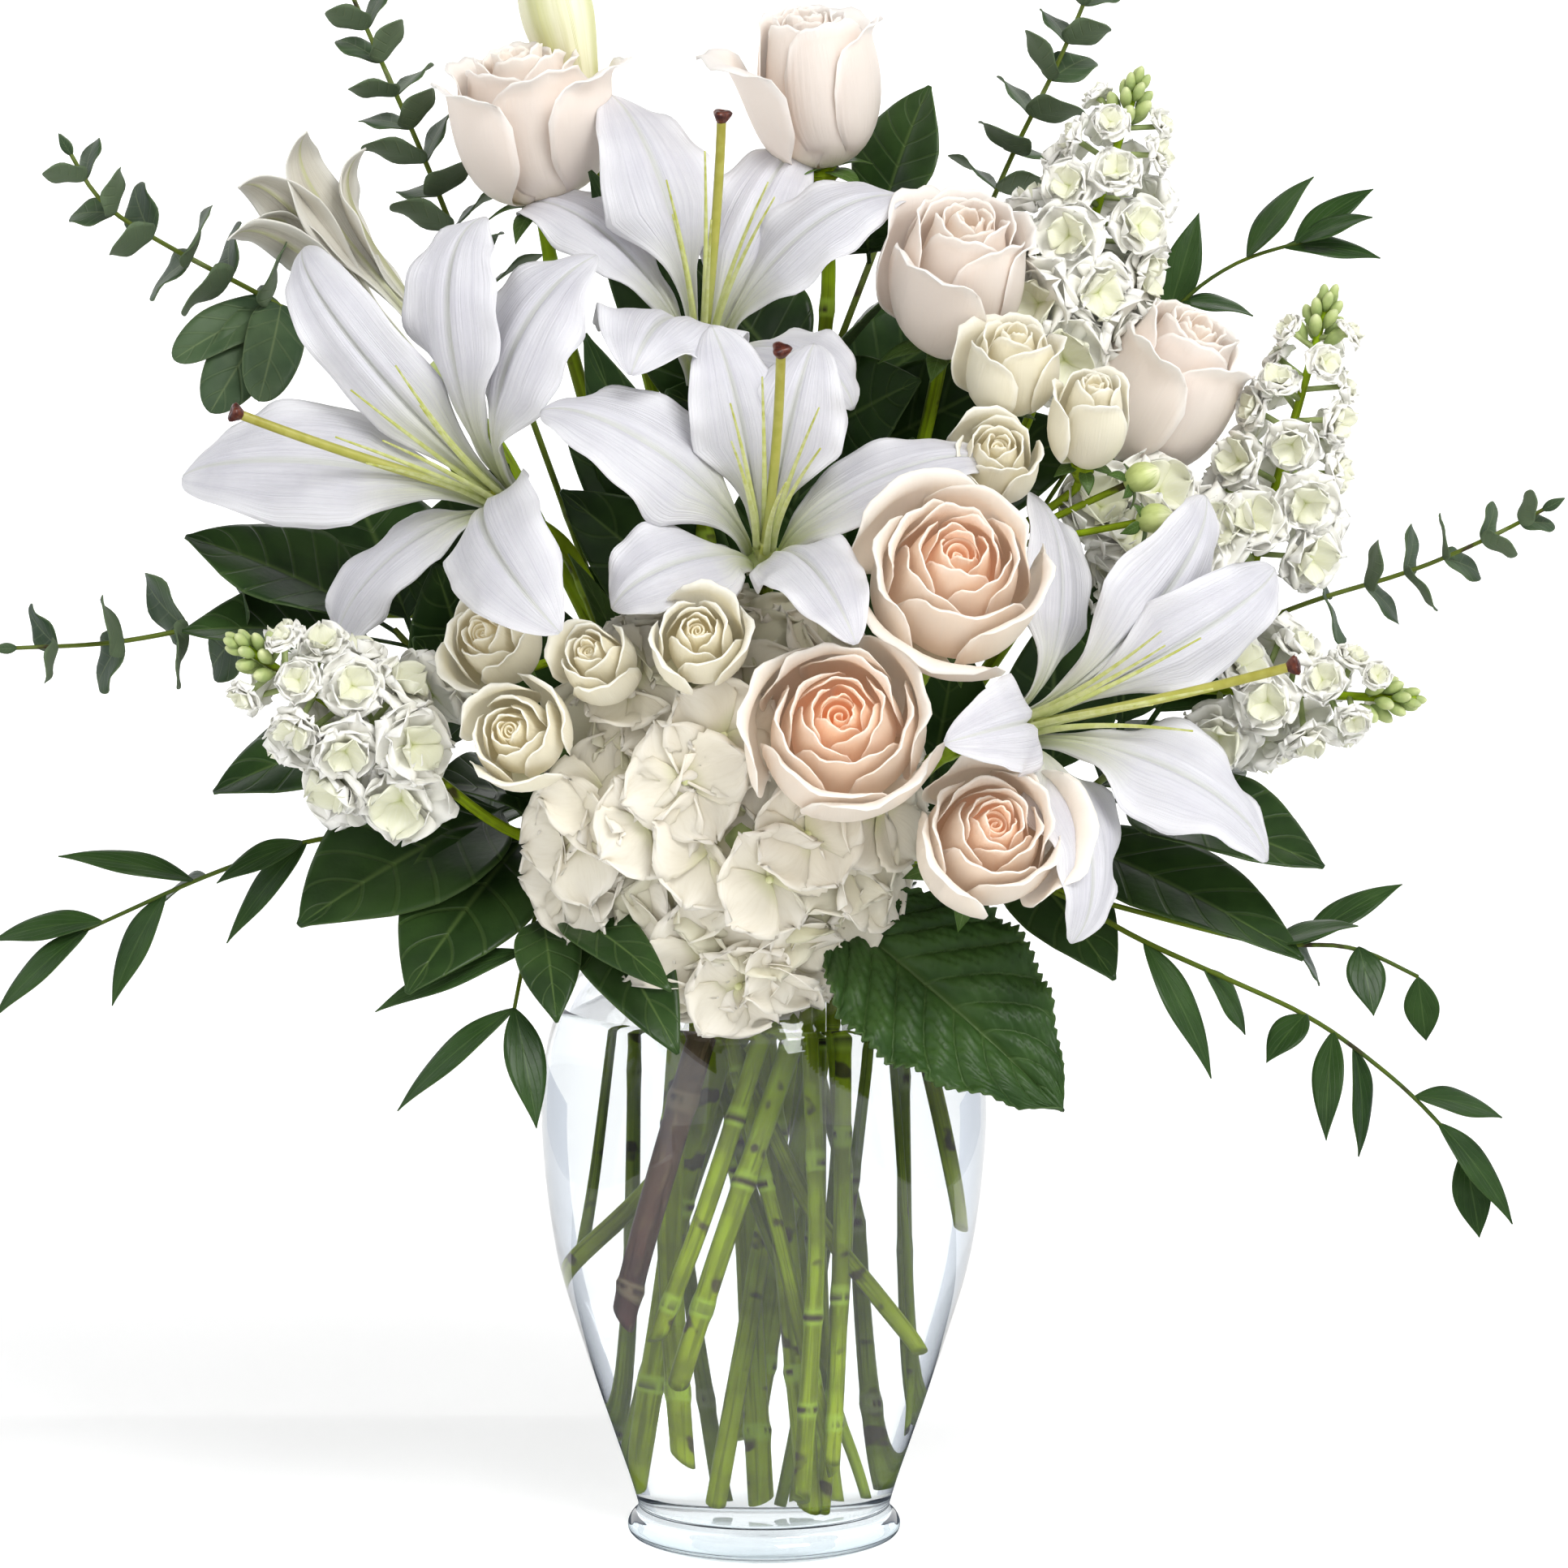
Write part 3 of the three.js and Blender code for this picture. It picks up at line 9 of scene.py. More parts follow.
import bpy
import numpy as np
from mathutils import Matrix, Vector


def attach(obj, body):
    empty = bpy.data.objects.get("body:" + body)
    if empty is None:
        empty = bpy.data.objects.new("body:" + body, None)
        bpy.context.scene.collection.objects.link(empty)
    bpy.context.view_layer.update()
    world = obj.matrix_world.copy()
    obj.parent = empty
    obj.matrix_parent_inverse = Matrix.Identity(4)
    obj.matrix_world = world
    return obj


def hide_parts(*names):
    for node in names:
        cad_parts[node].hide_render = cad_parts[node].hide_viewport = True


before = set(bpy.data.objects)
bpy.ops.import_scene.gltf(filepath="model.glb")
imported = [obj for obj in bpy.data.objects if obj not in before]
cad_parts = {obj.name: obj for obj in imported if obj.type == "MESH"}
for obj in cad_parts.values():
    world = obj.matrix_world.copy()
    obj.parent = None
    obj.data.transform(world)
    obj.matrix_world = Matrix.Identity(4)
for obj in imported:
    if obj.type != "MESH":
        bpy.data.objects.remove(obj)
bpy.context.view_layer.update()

MM = 0.001
UP = np.array([0.0, 0.0, 1.0])
TURN = 2 * math.pi
GOLDEN = math.pi * (3 - math.sqrt(5))

# ---------------------------------------------------------------- the arrangement

VASE = dict(  # outlines as radius and height
    sides=128,
    foot=[(0, 0), (38, 0), (43, 0.4), (46.6, 2), (47.8, 4.6), (46.6, 7.6), (44.6, 9.4), (44, 12)],
    outside=[
        (44, 12), (47, 22), (52.5, 38), (64, 72), (73, 104), (77.5, 145), (75.5, 174), (68.5, 193),
        (57.5, 205), (48.6, 213.5), (47.3, 220), (50, 226.5),
    ],
    lip=[(52.6, 229.4), (53.4, 230.8), (52.4, 231.6), (50.6, 231)],
    inside=[
        (50.6, 231), (47.2, 226.5), (44.3, 220), (45.6, 213.5), (54.2, 203.6), (65, 191), (72.5, 172),
        (74, 145), (69.5, 104), (60.3, 72), (49.5, 38), (43.8, 22), (40.5, 15),
    ],
    bottom=[(38, 12.2), (33, 11.2), (20, 11), (0, 11)],
)
WATER_LEVEL = 186
NECK_HEIGHT = 224  # where the stems are squeezed together
STEM_KNEE = 118  # height at which a stem in the vase may bend a little
GLASS_WALL = [
    (36, 11), (40.5, 15), (49.5, 38), (69.5, 104), (74, 145), (72.5, 172), (65, 191), (45, 213),
    (44.2, 221), (50.5, 231.5),
]  # inside radius and height, upwards, that the stems keep clear of

# Each petal has its tip, read to the right and up from the throat, its reach along the axis, its half
# width, and how far its tip curls over.
LILIES = [
    dict(throat=(-100, -45, 372), axis=(-0.55, -0.72, 0.42), pistil=(-75, 22), petals=[
        ((-100, -1), 22, 20, 0.5), ((-56, 77), 44, 14, 0.7), ((7, 87), 34, 19, 0.9),
        ((45, 74), 20, 21, 0.6), ((35, -47), 18, 20, 0.6), ((-45, -60), -20, 13, 1.1),
    ]),
    dict(throat=(-20, -15, 427), axis=(0.06, -0.6, 0.8), pistil=(6, 66), petals=[
        ((-33, 75), 36, 19, 0.3), ((33, 57), 20, 16, 0.5), ((69, 39), 32, 17, 0.5),
        ((50, -32), -2, 15, 1.3), ((-23, -20), 26, 23, 0.7), ((-65, 34), -2, 13, 1.2),
    ]),
    dict(throat=(1, -80, 360), axis=(0.02, -0.8, 0.6), pistil=(5, 55), petals=[
        ((-74, 35), 16, 18, 0.8), ((-18, 63), 30, 16, 0.3), ((16, 57), 26, 17, 0.4),
        ((74, 17), -4, 12, 1.1), ((29, -38), 24, 15, 0.5), ((-50, -29), -4, 17, 1.2),
    ]),
    dict(throat=(100, -85, 296), axis=(0.71, -0.64, 0.29), pistil=(74, 16), petals=[
        ((48, 70), 34, 19, 0.4), ((71, 46), 45, 16, 0.4), ((67, -49), 32, 19, 0.4),
        ((1, -74), -8, 18, 1.1), ((-42, -5), 8, 15, 0.9), ((-14, 72), -20, 13, 1.2),
    ]),
]
LILY = dict(
    depth=28,  # from the throat down to where the petals meet
    thick=0.7,  # of a petal
    stamen=50,  # beyond the throat
    pistil=62,
    filament=1.25,  # radius of a stamen's stalk
    style=1.7,  # and of the pistil's
    branch=2.4,  # and of a side stem
    foot=[(0, -5), (3.2, -4.6), (4.6, -2), (5.6, 1), (6.2, 4), (5, 5), (0, 5.5)],
    hub=[(0, 2), (2.4, 3), (3.2, 7), (2.9, 11), (2, 13.4), (0, 14)],
)

# A lily just opening, on the first lily's stem, and a closed bud on the second's. A petal here is
# its tip, half width and how far the tip bends over.
OPENING_LILY = dict(base=(-112, 25, 406), axis=(-0.63, 0.02, 0.77), petals=[
    ((-157, 5, 489), 12, 0.0), ((-138, 22, 484), 12, 0.1), ((-180, 0, 470), 11, 0.1),
    ((-178, 14, 456), 10, 0.2), ((-183, -8, 452), 10, 0.2), ((-160, 34, 476), 11, 0.1),
])
LILY_BUD = dict(base=(-62, 35, 494), tip=(-78, 30, 562), radius=12.5)


def rows_of(keys, *rows):
    """Each row of a table as a dict. A shorter row leaves its last keys out."""
    keys = keys.split()
    return [dict(zip(keys, row)) for row in rows]


# A rose is opened from its heart outwards, and its outermost petals are loose by a share of their
# own. Warmth is how much of the heart's colour shows, drop is how far an open petal sinks, and turn
# turns the whole bloom.
ROSES = rows_of(
    "at axis radius height opened loose warmth look drop turn",
    ((-82, 25, 491), (-0.15, -0.25, 0.95), 29, 52, 0.95, 1.15, 0.45, "cream", 0.1),
    ((17, 20, 503), (-0.1, -0.3, 0.95), 25, 52, 0.3, 1.4, 0.35, "cream", 0.04, -1.2),
    ((66, -15, 438), (0.15, -0.55, 0.82), 27, 50, 0.6, 1.0, 0.7, "cream", 0.14),
    ((137, 0, 400), (0.45, -0.35, 0.82), 27, 54, 0.4, 1.2, 0.6, "cream", 0.14),
    ((62, -95, 340), (0.1, -0.85, 0.5), 33, 46, 0.95, 0.9, 0.85, "peach"),
    ((25, -112, 292), (0, -0.93, 0.36), 33, 46, 0.8, 0.85, 1.0, "peach"),
    ((73, -106, 256), (0.15, -0.9, 0.4), 27, 42, 0.85, 0.9, 0.8, "peach"),
)
CALYX = dict(rose=7, spray=4.5)  # radius of the green cup under a bloom

SPRAY_ROSES = rows_of(
    "at axis radius height opened side",
    ((83, -45, 408), (0.1, -0.5, 0.85), 19, 30, 0.8, "right"),
    ((109, -55, 391), (0.1, -0.55, 0.8), 15.5, 32, 0.1, "right"),
    ((-89, -75, 318), (-0.3, -0.85, 0.4), 18, 28, 0.7, "left"),
    ((-54, -95, 313), (-0.25, -0.85, 0.45), 15, 26, 0.5, "left"),
    ((-21, -112, 321), (0, -0.9, 0.4), 18, 28, 0.8, "left"),
    ((-80, -100, 289), (-0.2, -0.93, 0.3), 20, 28, 0.7, "left"),
    ((77, -60, 377), (0.1, -0.8, 0.55), 17, 26, 0.7, "right"),
)
SPRAY = dict(
    twig=1.5,  # radius under a small rose
    buds=((124, -50, 371), (128, -54, 358)),
    bud=dict(twig=1.2, radius=5, tall=13),
)

HYDRANGEA = dict(
    centre=(-13, -62, 264),
    head=(61, 40, 68),  # half sizes of the round of florets
    seats=118,  # spread over the whole round, but left out where it faces the stems
    stem_side=0.5,
    beads=90,  # inside, also left out towards the stems
    inside=dict(side=0.75, share=0.62, bead=11),
    floret=dict(long=21, half=14, thick=0.5),
)
HYDRANGEA_LEAF = dict(
    root=(26, -62, 226), tip=(99, -95, 165), half=34, face=(0.1, -0.8, 0.6),
    stalk=((8, -48, 234), (31.6, -65.2, 222)), radius=1.9,
)

NECK_LEAVES = [  # root, tip and half width of the leaves that hang over the vase's lip
    ((-75, -48, 228), (-30, -104, 206), 10),
    ((-66, -36, 232), (-28, -96, 184), 15),
    ((-75, -48, 228), (-68, -92, 194), 11),
]

STOCKS = rows_of(
    "base tip wide narrow florets",
    ((98, 15, 409), (131, 5, 514), 31, 13, 30),
    ((169, -5, 342), (195, -10, 440), 23, 12, 23),
    ((-116, -57, 277), (-178, -95, 324), 28, 13, 21),
    ((157, -20, 299), (226, -45, 297), 24, 11, 16),
)
STOCK = dict(
    stem=2.8, stalk=1.1,  # radii
    thick=0.4,  # of a petal
    buds=dict(count=15, tall=22, wide=8),
)
LOW_FLORETS = [  # a few florets lower down on the second stock
    (126, -32, 352), (142, -28, 343), (114, -30, 361), (134, -24, 366), (152, -22, 352),
    (124, -24, 338),
]

# Every stem: radius, cut end in the vase and slot in the neck. A stem with a bloom runs to the
# bloom's base. Its bends above the neck come last, or are worked out from the bloom.
STEM_ROWS = dict(
    lily_1=(3.8, (-24, -21, 32), (-20, -6)),
    lily_2=(3.8, (17, -25, 15), (-5, 2)),
    lily_3=(3.6, (-34, 7, 16), (0, -14)),
    lily_4=(3.6, (-28, -42, 62), (24, -18)),
    rose_1=(3.1, (0, 15, 15), (-14, 10)),
    rose_2=(3.1, (8, 34, 15), (3, 14)),
    rose_3=(3, (10, 2, 15), (14, 3)),
    rose_4=(3.1, (-4, 24, 40), (24, 6)),
    rose_5=(3, (-35, -44, 78), (14, -20)),
    rose_6=(3, (12, -35, 20), (12, -31), [(46, -42, 252), (44, -66, 268)]),
    rose_7=(2.8, (22, -36, 34), (24, -29), [(50, -44, 240), (66, -62, 243)]),
    spray_left=(2.4, (22, -28, 30), (-20, -20), [(-32, -16, 266), (-50, -32, 318)]),
    spray_right=(2.4, (16, -13, 14), (17, -8), [(40, -16, 290), (72, -30, 346)]),
    hydrangea=(4.4, (-45, -33, 82), (-6, -33), [(-8, -38, 238), (-12, -50, 252)]),
    stock_1=(3, (-13, -2, 15), (14, 14)),
    stock_2=(3, (-59, 7, 90), (32, 2)),
    stock_3=(2.8, (49, -17, 70), (-30, -16), [(-54, -26, 240), (-88, -42, 252)]),
    stock_4=(2.8, (56, -1, 110), (34, -8), [(72, -8, 262), (122, -10, 298)]),
    eucalyptus_1=(1.9, (-8, 35, 15), (-20, 16)),
    eucalyptus_2=(1.9, (36, -10, 18), (-28, 4)),
    eucalyptus_3=(1.8, (8, 24, 14), (32, 14)),
    eucalyptus_4=(1.8, (-35, 14, 20), (10, 26)),
    ruscus_1=(1.5, (-41, 17, 100), (-37, -4)),
    ruscus_2=(1.5, (43, -6, 40), (34, -20)),
    ruscus_3=(1.5, (4, 20, 14), (22, 24)),
    salal_1=(2, (-30, 24, 25), (-33, 10)),
    salal_2=(2, (32, 27, 30), (37, 2)),
    salal_3=(2, (23, 29, 18), (-2, 30)),
)
STEMS = dict(zip(STEM_ROWS, rows_of("radius foot slot via", *STEM_ROWS.values())))

# Eucalyptus: the twig's route above the neck, and how its pairs of round leaves sit on it: their
# length, half width, the share of the twig where they start, and the number of pairs.
EUCALYPTUS = dict(
    eucalyptus_1=dict(
        route=[
            (-56, 30, 320), (-86, 34, 403), (-104, 40, 443), (-120, 45, 483), (-136, 45, 519),
            (-154, 45, 560),
        ],
        leaf=(27, 10, 0.4, 12),
    ),
    eucalyptus_2=dict(
        route=[
            (-76, 22, 320), (-124, 26, 398), (-168, 22, 430), (-203, 16, 448), (-229, 10, 464),
            (-240, 10, 484),
        ],
        leaf=(26, 12, 0.6, 6),
        fork=dict(at=1, leaf=(26, 13, 0.5, 4), route=[
            (-120, 24, 322), (-150, 18, 322), (-194, 8, 319), (-225, 2, 313), (-260, -4, 312),
        ]),
        extra=[  # root, tip, half width and face
            ((-168, 22, 430), (-190, -4, 393), 11, (0, -1, 0.3)),
            ((-168, 22, 430), (-203, 2, 411), 9, (0, -1, 0.6)),
            ((-168, 22, 430), (-173, -8, 397), 10, (0.3, -1, 0.2)),
        ],
    ),
    eucalyptus_3=dict(
        route=[
            (90, 22, 276), (150, 20, 310), (190, 8, 328), (224, 2, 338), (252, -4, 351),
            (270, -6, 361),
        ],
        leaf=(23, 8, 0.56, 6),
    ),
    eucalyptus_4=dict(
        route=[
            (40, 44, 340), (74, 52, 451), (88, 56, 484), (103, 56, 513), (115, 56, 541),
            (121, 56, 560),
        ],
        leaf=(24, 10, 0.56, 7),
    ),
)

# Ruscus: each leaf is a root and a tip.
RUSCUS = dict(
    ruscus_1=dict(
        route=[
            (-47, -8, 237), (-66, -10, 245), (-107, -8, 248), (-151, -20, 249), (-190, -26, 236),
            (-232, -30, 217),
        ],
        fork=dict(at=1, route=[(-72, -30, 240), (-79, -60, 218), (-83, -72, 196)]),
        leaves=[
            ((-195, -26, 234), (-240, -34, 243)), ((-225, -30, 219), (-264, -26, 213)),
            ((-229, -30, 215), (-262, -38, 188)), ((-204, -28, 229), (-222, -36, 192)),
            ((-190, -26, 234), (-210, -10, 222)), ((-158, -21, 247), (-186, -36, 234)),
            ((-156, -20, 246), (-184, -24, 212)), ((-80, -62, 214), (-130, -66, 194)),
            ((-83, -72, 194), (-122, -76, 162)), ((-83, -72, 194), (-75, -88, 158)),
            ((-74, -40, 234), (-40, -84, 212)),
        ],
    ),
    ruscus_2=dict(
        route=[
            (45, -26, 237), (70, -36, 240), (99, -46, 233), (124, -54, 218), (150, -60, 207),
            (186, -60, 191), (217, -60, 167), (236, -60, 146),
        ],
        fork=dict(at=2, route=[(140, -38, 221), (172, -40, 213), (200, -42, 214), (222, -44, 203)]),
        leaves=[
            ((128, -55, 216), (150, -70, 172)), ((148, -60, 208), (163, -50, 184)),
            ((183, -60, 193), (168, -74, 178)), ((192, -60, 187), (188, -76, 152)),
            ((199, -60, 182), (202, -48, 142)), ((220, -60, 165), (250, -52, 156)),
            ((228, -60, 156), (252, -66, 122)), ((236, -60, 146), (242, -58, 116)),
            ((182, -41, 214), (218, -30, 233)), ((172, -40, 214), (200, -58, 222)),
            ((180, -41, 213), (190, -30, 198)), ((202, -42, 213), (206, -54, 191)),
            ((222, -44, 203), (226, -36, 180)),
        ],
    ),
    ruscus_3=dict(
        route=[
            (60, 36, 300), (112, 38, 380), (134, 34, 415), (148, 28, 434), (166, 22, 446),
            (188, 20, 452),
        ],
        leaves=[
            ((140, 31, 424), (152, 34, 462)), ((168, 22, 446), (190, 14, 474)),
            ((184, 20, 450), (212, 26, 470)), ((186, 20, 451), (210, 10, 460)),
            ((180, 20, 450), (214, 20, 446)), ((146, 29, 431), (170, 20, 426)),
            ((136, 33, 418), (160, 40, 414)),
        ],
    ),
)
RUSCUS_HALF = 6.2  # half width of a leaf
FORK = dict(eucalyptus=1.4, ruscus=1.0)  # radius of a side twig
STALK_SHARE = 0.2  # how much of a broad leaf's length is its stalk
LEAF_STEP = 6  # spacing of the leaves on a stem, downwards from each bend

# Salal: broad pointed leaves on short stalks, filling the gaps and the back of the bouquet. Each has
# the number of the bend it hangs from, its tip, its half width, and 1 where it faces the front.
SALAL = dict(
    salal_1=dict(
        route=[(-52, 10, 243), (-78, 8, 262), (-104, 4, 292), (-128, 4, 318)],
        leaves=[
            (3, (-200, 4, 350), 24, 0), (3, (-200, -8, 318), 21, 0), (2, (-190, -6, 262), 24, 0),
            (1, (-156, -58, 222), 30, 0), (1, (-118, -80, 202), 24, 0), (3, (-150, 60, 372), 24, 0),
            (1, (-140, 74, 240), 27, 0), (2, (-112, -26, 342), 22, 1), (2, (-118, -44, 318), 19, 1),
            (1, (-112, -34, 268), 20, 0), (0, (-92, -22, 296), 19, 1), (1, (-72, -34, 330), 22, 1),
            (3, (-88, -10, 376), 22, 1),
        ],
    ),
    salal_2=dict(
        route=[(58, 4, 246), (84, 0, 254), (112, -12, 262), (128, -18, 280)],
        leaves=[
            (2, (188, -60, 242), 22, 0), (1, (182, -54, 210), 20, 0), (3, (176, 16, 338), 22, 0),
            (2, (170, 60, 268), 26, 0), (0, (92, 88, 226), 27, 0), (1, (118, -60, 204), 18, 0),
            (3, (126, -26, 348), 20, 1), (0, (66, -20, 318), 19, 1), (2, (98, -34, 326), 21, 1),
            (1, (88, -50, 292), 19, 1), (3, (146, 30, 372), 24, 1),
        ],
    ),
    salal_3=dict(
        route=[(-2, 44, 262), (0, 48, 330), (20, 44, 400), (40, 42, 452)],
        leaves=[
            (3, (58, 36, 506), 18, 0), (2, (48, 2, 436), 18, 0), (0, (-60, 106, 232), 27, 0),
            (0, (34, 118, 240), 27, 0), (1, (-66, 90, 352), 26, 0), (1, (52, 104, 352), 26, 0),
            (2, (-28, 72, 446), 23, 0), (2, (84, 70, 428), 22, 0), (1, (-70, 14, 392), 22, 1),
            (1, (52, 0, 384), 20, 1), (1, (-70, 2, 366), 21, 1), (2, (54, 4, 404), 19, 1),
            (1, (60, -14, 346), 21, 1), (2, (-34, 10, 400), 19, 1), (3, (34, 10, 470), 17, 1),
            (1, (-62, 20, 338), 24, 1), (2, (-50, 26, 442), 19, 1), (1, (18, 12, 396), 22, 1),
            (1, (84, 16, 372), 23, 1), (2, (96, 24, 410), 20, 1), (2, (-60, 12, 476), 17, 1),
            (2, (118, 46, 384), 24, 1), (1, (-62, 12, 420), 18, 1),
        ],
    ),
)


# ---------------------------------------------------------------- vectors and small rules


def vec(*parts):
    return np.array(parts, float)


def vecs(points):
    return [vec(*point) for point in points]


def unit(v):
    return v / np.linalg.norm(v)


def smooth(x):
    x = np.clip(x, 0, 1)
    return x * x * (3 - 2 * x)


def blend(a, b, share):
    return a + (b - a) * share


def draw(seed):
    """A repeatable draw between -1 and 1."""
    wave = math.sin(seed * 12.9898 + 4.1) * 43758.5453
    return 2 * (wave - math.floor(wave)) - 1


def turned_about(v, axis, angle):
    cos, sin = math.cos(angle), math.sin(angle)
    return v * cos + np.cross(axis, v) * sin + axis * np.dot(axis, v) * (1 - cos)


def level_side(axis):
    side = np.cross(UP, axis)
    return unit(side) if side @ side > 1e-4 else vec(1, 0, 0)


def frame_at(at, axis, spin=0.0):
    """Side, up, forward and origin of a local frame that looks along axis."""
    forward = unit(np.asarray(axis, float))
    side = turned_about(level_side(forward), forward, spin)
    return np.array([side, unit(np.cross(forward, side)), forward, at])


def put(points, where):
    """Points of a local frame, in the frame of the object."""
    moved = np.reshape(points, (-1, 3)) @ where[:3] + where[3]
    return moved.reshape(np.shape(points))


def spread_over(count):
    """Directions spread evenly over a ball."""
    k = np.arange(count)
    z = 1 - 2 * (k + 0.5) / count
    r = np.sqrt(1 - z * z)
    return np.stack([r * np.cos(GOLDEN * k), r * np.sin(GOLDEN * k), z], axis=-1)


def bezier(knots, t):
    """A curve through its first and last knot, drawn towards those between."""
    rows = [np.asarray(knot, float)[None] * np.ones((len(t), 1)) for knot in knots]
    share = t[:, None]
    while len(rows) > 1:
        rows = [blend(a, b, share) for a, b in zip(rows, rows[1:])]
    return rows[0]


def flow(points, steps):
    """A smooth curve through every point of a row, in so many steps from point to point."""
    points = np.asarray(points, float)
    ends = np.vstack([2 * points[0] - points[1], points, 2 * points[-1] - points[-2]])
    t = np.arange(steps)[:, None] / steps
    runs = []
    for a, b, c, d in zip(ends, ends[1:], ends[2:], ends[3:]):
        bend = (2 * a - 5 * b + 4 * c - d) * t**2 + (3 * b - a - 3 * c + d) * t**3
        runs.append(0.5 * (2 * b + (c - a) * t + bend))
    return np.vstack([*runs, points[-1:]])


def eased(way, reach=16):
    """The same way with each corner eased into a short curve."""
    way = [np.asarray(p, float) for p in way]
    points = [way[0]]
    for before, at, after in zip(way, way[1:], way[2:]):
        first, last = (np.linalg.norm(other - at) for other in (before, after))
        start = blend(at, before, min(reach / first, 0.45))
        end = blend(at, after, min(reach / last, 0.45))
        points.extend(bezier([start, at, end], np.linspace(0, 1, 5)))
    return np.array([*points, way[-1]])


def spaced(way, spacing):
    """Points at an even spacing along a way."""
    steps = np.linalg.norm(np.diff(way, axis=0), axis=1)
    run = np.concatenate([[0], np.cumsum(steps)])
    count = max(3, int(run[-1] / spacing) + 1)
    at = np.linspace(0, run[-1], count)
    return np.stack([np.interp(at, run, way[:, k]) for k in range(3)], axis=-1), run[-1]


# ---------------------------------------------------------------- surfaces


def link(name, data):
    """A new object in the scene."""
    made = bpy.data.objects.new(name, data)
    bpy.context.scene.collection.objects.link(made)
    return made


class Shape:
    """One piece: the closed surfaces it is made of. Every point carries its form: how far along
    its surface it is, how far across, the surface's tone, and 1 on the upper face, 0 below."""

    def __init__(self):
        self.points, self.form, self.faces, self.looks = [], [], [], []
        self.names = []
        self.count = 0

    def add(self, points, form, faces, look):
        if look not in self.names:
            self.names.append(look)
        self.points.append(points)
        self.form.append(form)
        for block in faces:
            self.faces.extend((block + self.count).tolist())
            self.looks.append(np.full(len(block), self.names.index(look)))
        self.count += len(points)

    def finish(self, node, slot):
        """Makes the piece, in place of its CAD node."""
        mesh = bpy.data.meshes.new(f"{node}_fine")
        mesh.from_pydata(np.vstack(self.points) * MM, [], self.faces)
        layer = mesh.attributes.new("form", "FLOAT_COLOR", "POINT")
        layer.data.foreach_set("color", np.vstack(self.form).astype(np.float32).ravel())
        for name in self.names:
            mesh.materials.append(LOOKS[name])
        mesh.polygons.foreach_set("material_index", np.concatenate(self.looks))
        mesh.polygons.foreach_set("use_smooth", np.ones(len(mesh.polygons), bool))
        mesh.update()
        piece = link(mesh.name, mesh)
        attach(piece, "root")
        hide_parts(node)
        return piece


def form_of(along, across, tone, face):
    return np.stack(np.broadcast_arrays(along, across, tone, face), axis=-1).reshape(-1, 4)


def quads(rows, columns, wrap=False):
    """Faces of a grid of points, as indices."""
    last = columns if wrap else columns - 1
    j, i = np.meshgrid(np.arange(rows - 1), np.arange(last), indexing="ij")
    a, b = j * columns + i, j * columns + (i + 1) % columns
    return np.stack([a, b, b + columns, a + columns], axis=-1).reshape(-1, 4)


def barrel(rows, sides):
    """Faces of a pile of rings that a pole closes at each end, as indices."""
    ring = np.arange(sides)
    after = np.roll(ring, -1)
    size = rows * sides
    top = size - sides
    low = np.stack([after, ring, np.full(sides, size)], axis=-1)
    high = np.stack([ring + top, after + top, np.full(sides, size + 1)], axis=-1)
    return [quads(rows, sides, wrap=True), low, high]


def barrel_form(share, sides, tone, face):
    around = form_of(share[:, None], np.arange(sides)[None, :] / sides, tone, face)
    poles = form_of(np.array([0.0, 1.0]), 0.5, tone, 1.0)
    return np.vstack([around, poles])


EDGE_LOSS = 0.45  # how much thinner a blade is at its edges


def sheet(shape, grid, thick, look, tone=0.5):
    """A closed blade laid on a grid of points, with rows from root to tip. It thins to its edges."""
    rows, columns = grid.shape[:2]
    normal = np.cross(np.gradient(grid, axis=1), np.gradient(grid, axis=0))
    normal /= np.maximum(np.linalg.norm(normal, axis=-1, keepdims=True), 1e-9)
    across = np.linspace(0, 1, columns)[None, :]
    half = thick / 2 * (1 - EDGE_LOSS * np.abs(2 * across - 1) ** 3)[..., None]
    faces = quads(rows, columns)
    size = rows * columns
    index = np.arange(size).reshape(rows, columns)
    rim = np.concatenate([index[0], index[1:, -1], index[-1, -2::-1], index[-2:0:-1, 0]])
    after = np.roll(rim, -1)
    edge = np.stack([rim + size, after + size, after, rim], axis=-1)
    sides = (grid + normal * half, grid - normal * half)
    points = np.concatenate([side.reshape(-1, 3) for side in sides])
    along = np.linspace(0, 1, rows)[:, None]
    form = np.concatenate([form_of(along, across, tone, face) for face in (1.0, 0.0)])
    shape.add(points, form, [faces, faces[:, ::-1] + size, edge], look)


KNOT = dict(long=2.6, swell=0.17)  # the swelling on a stem where a leaf has been


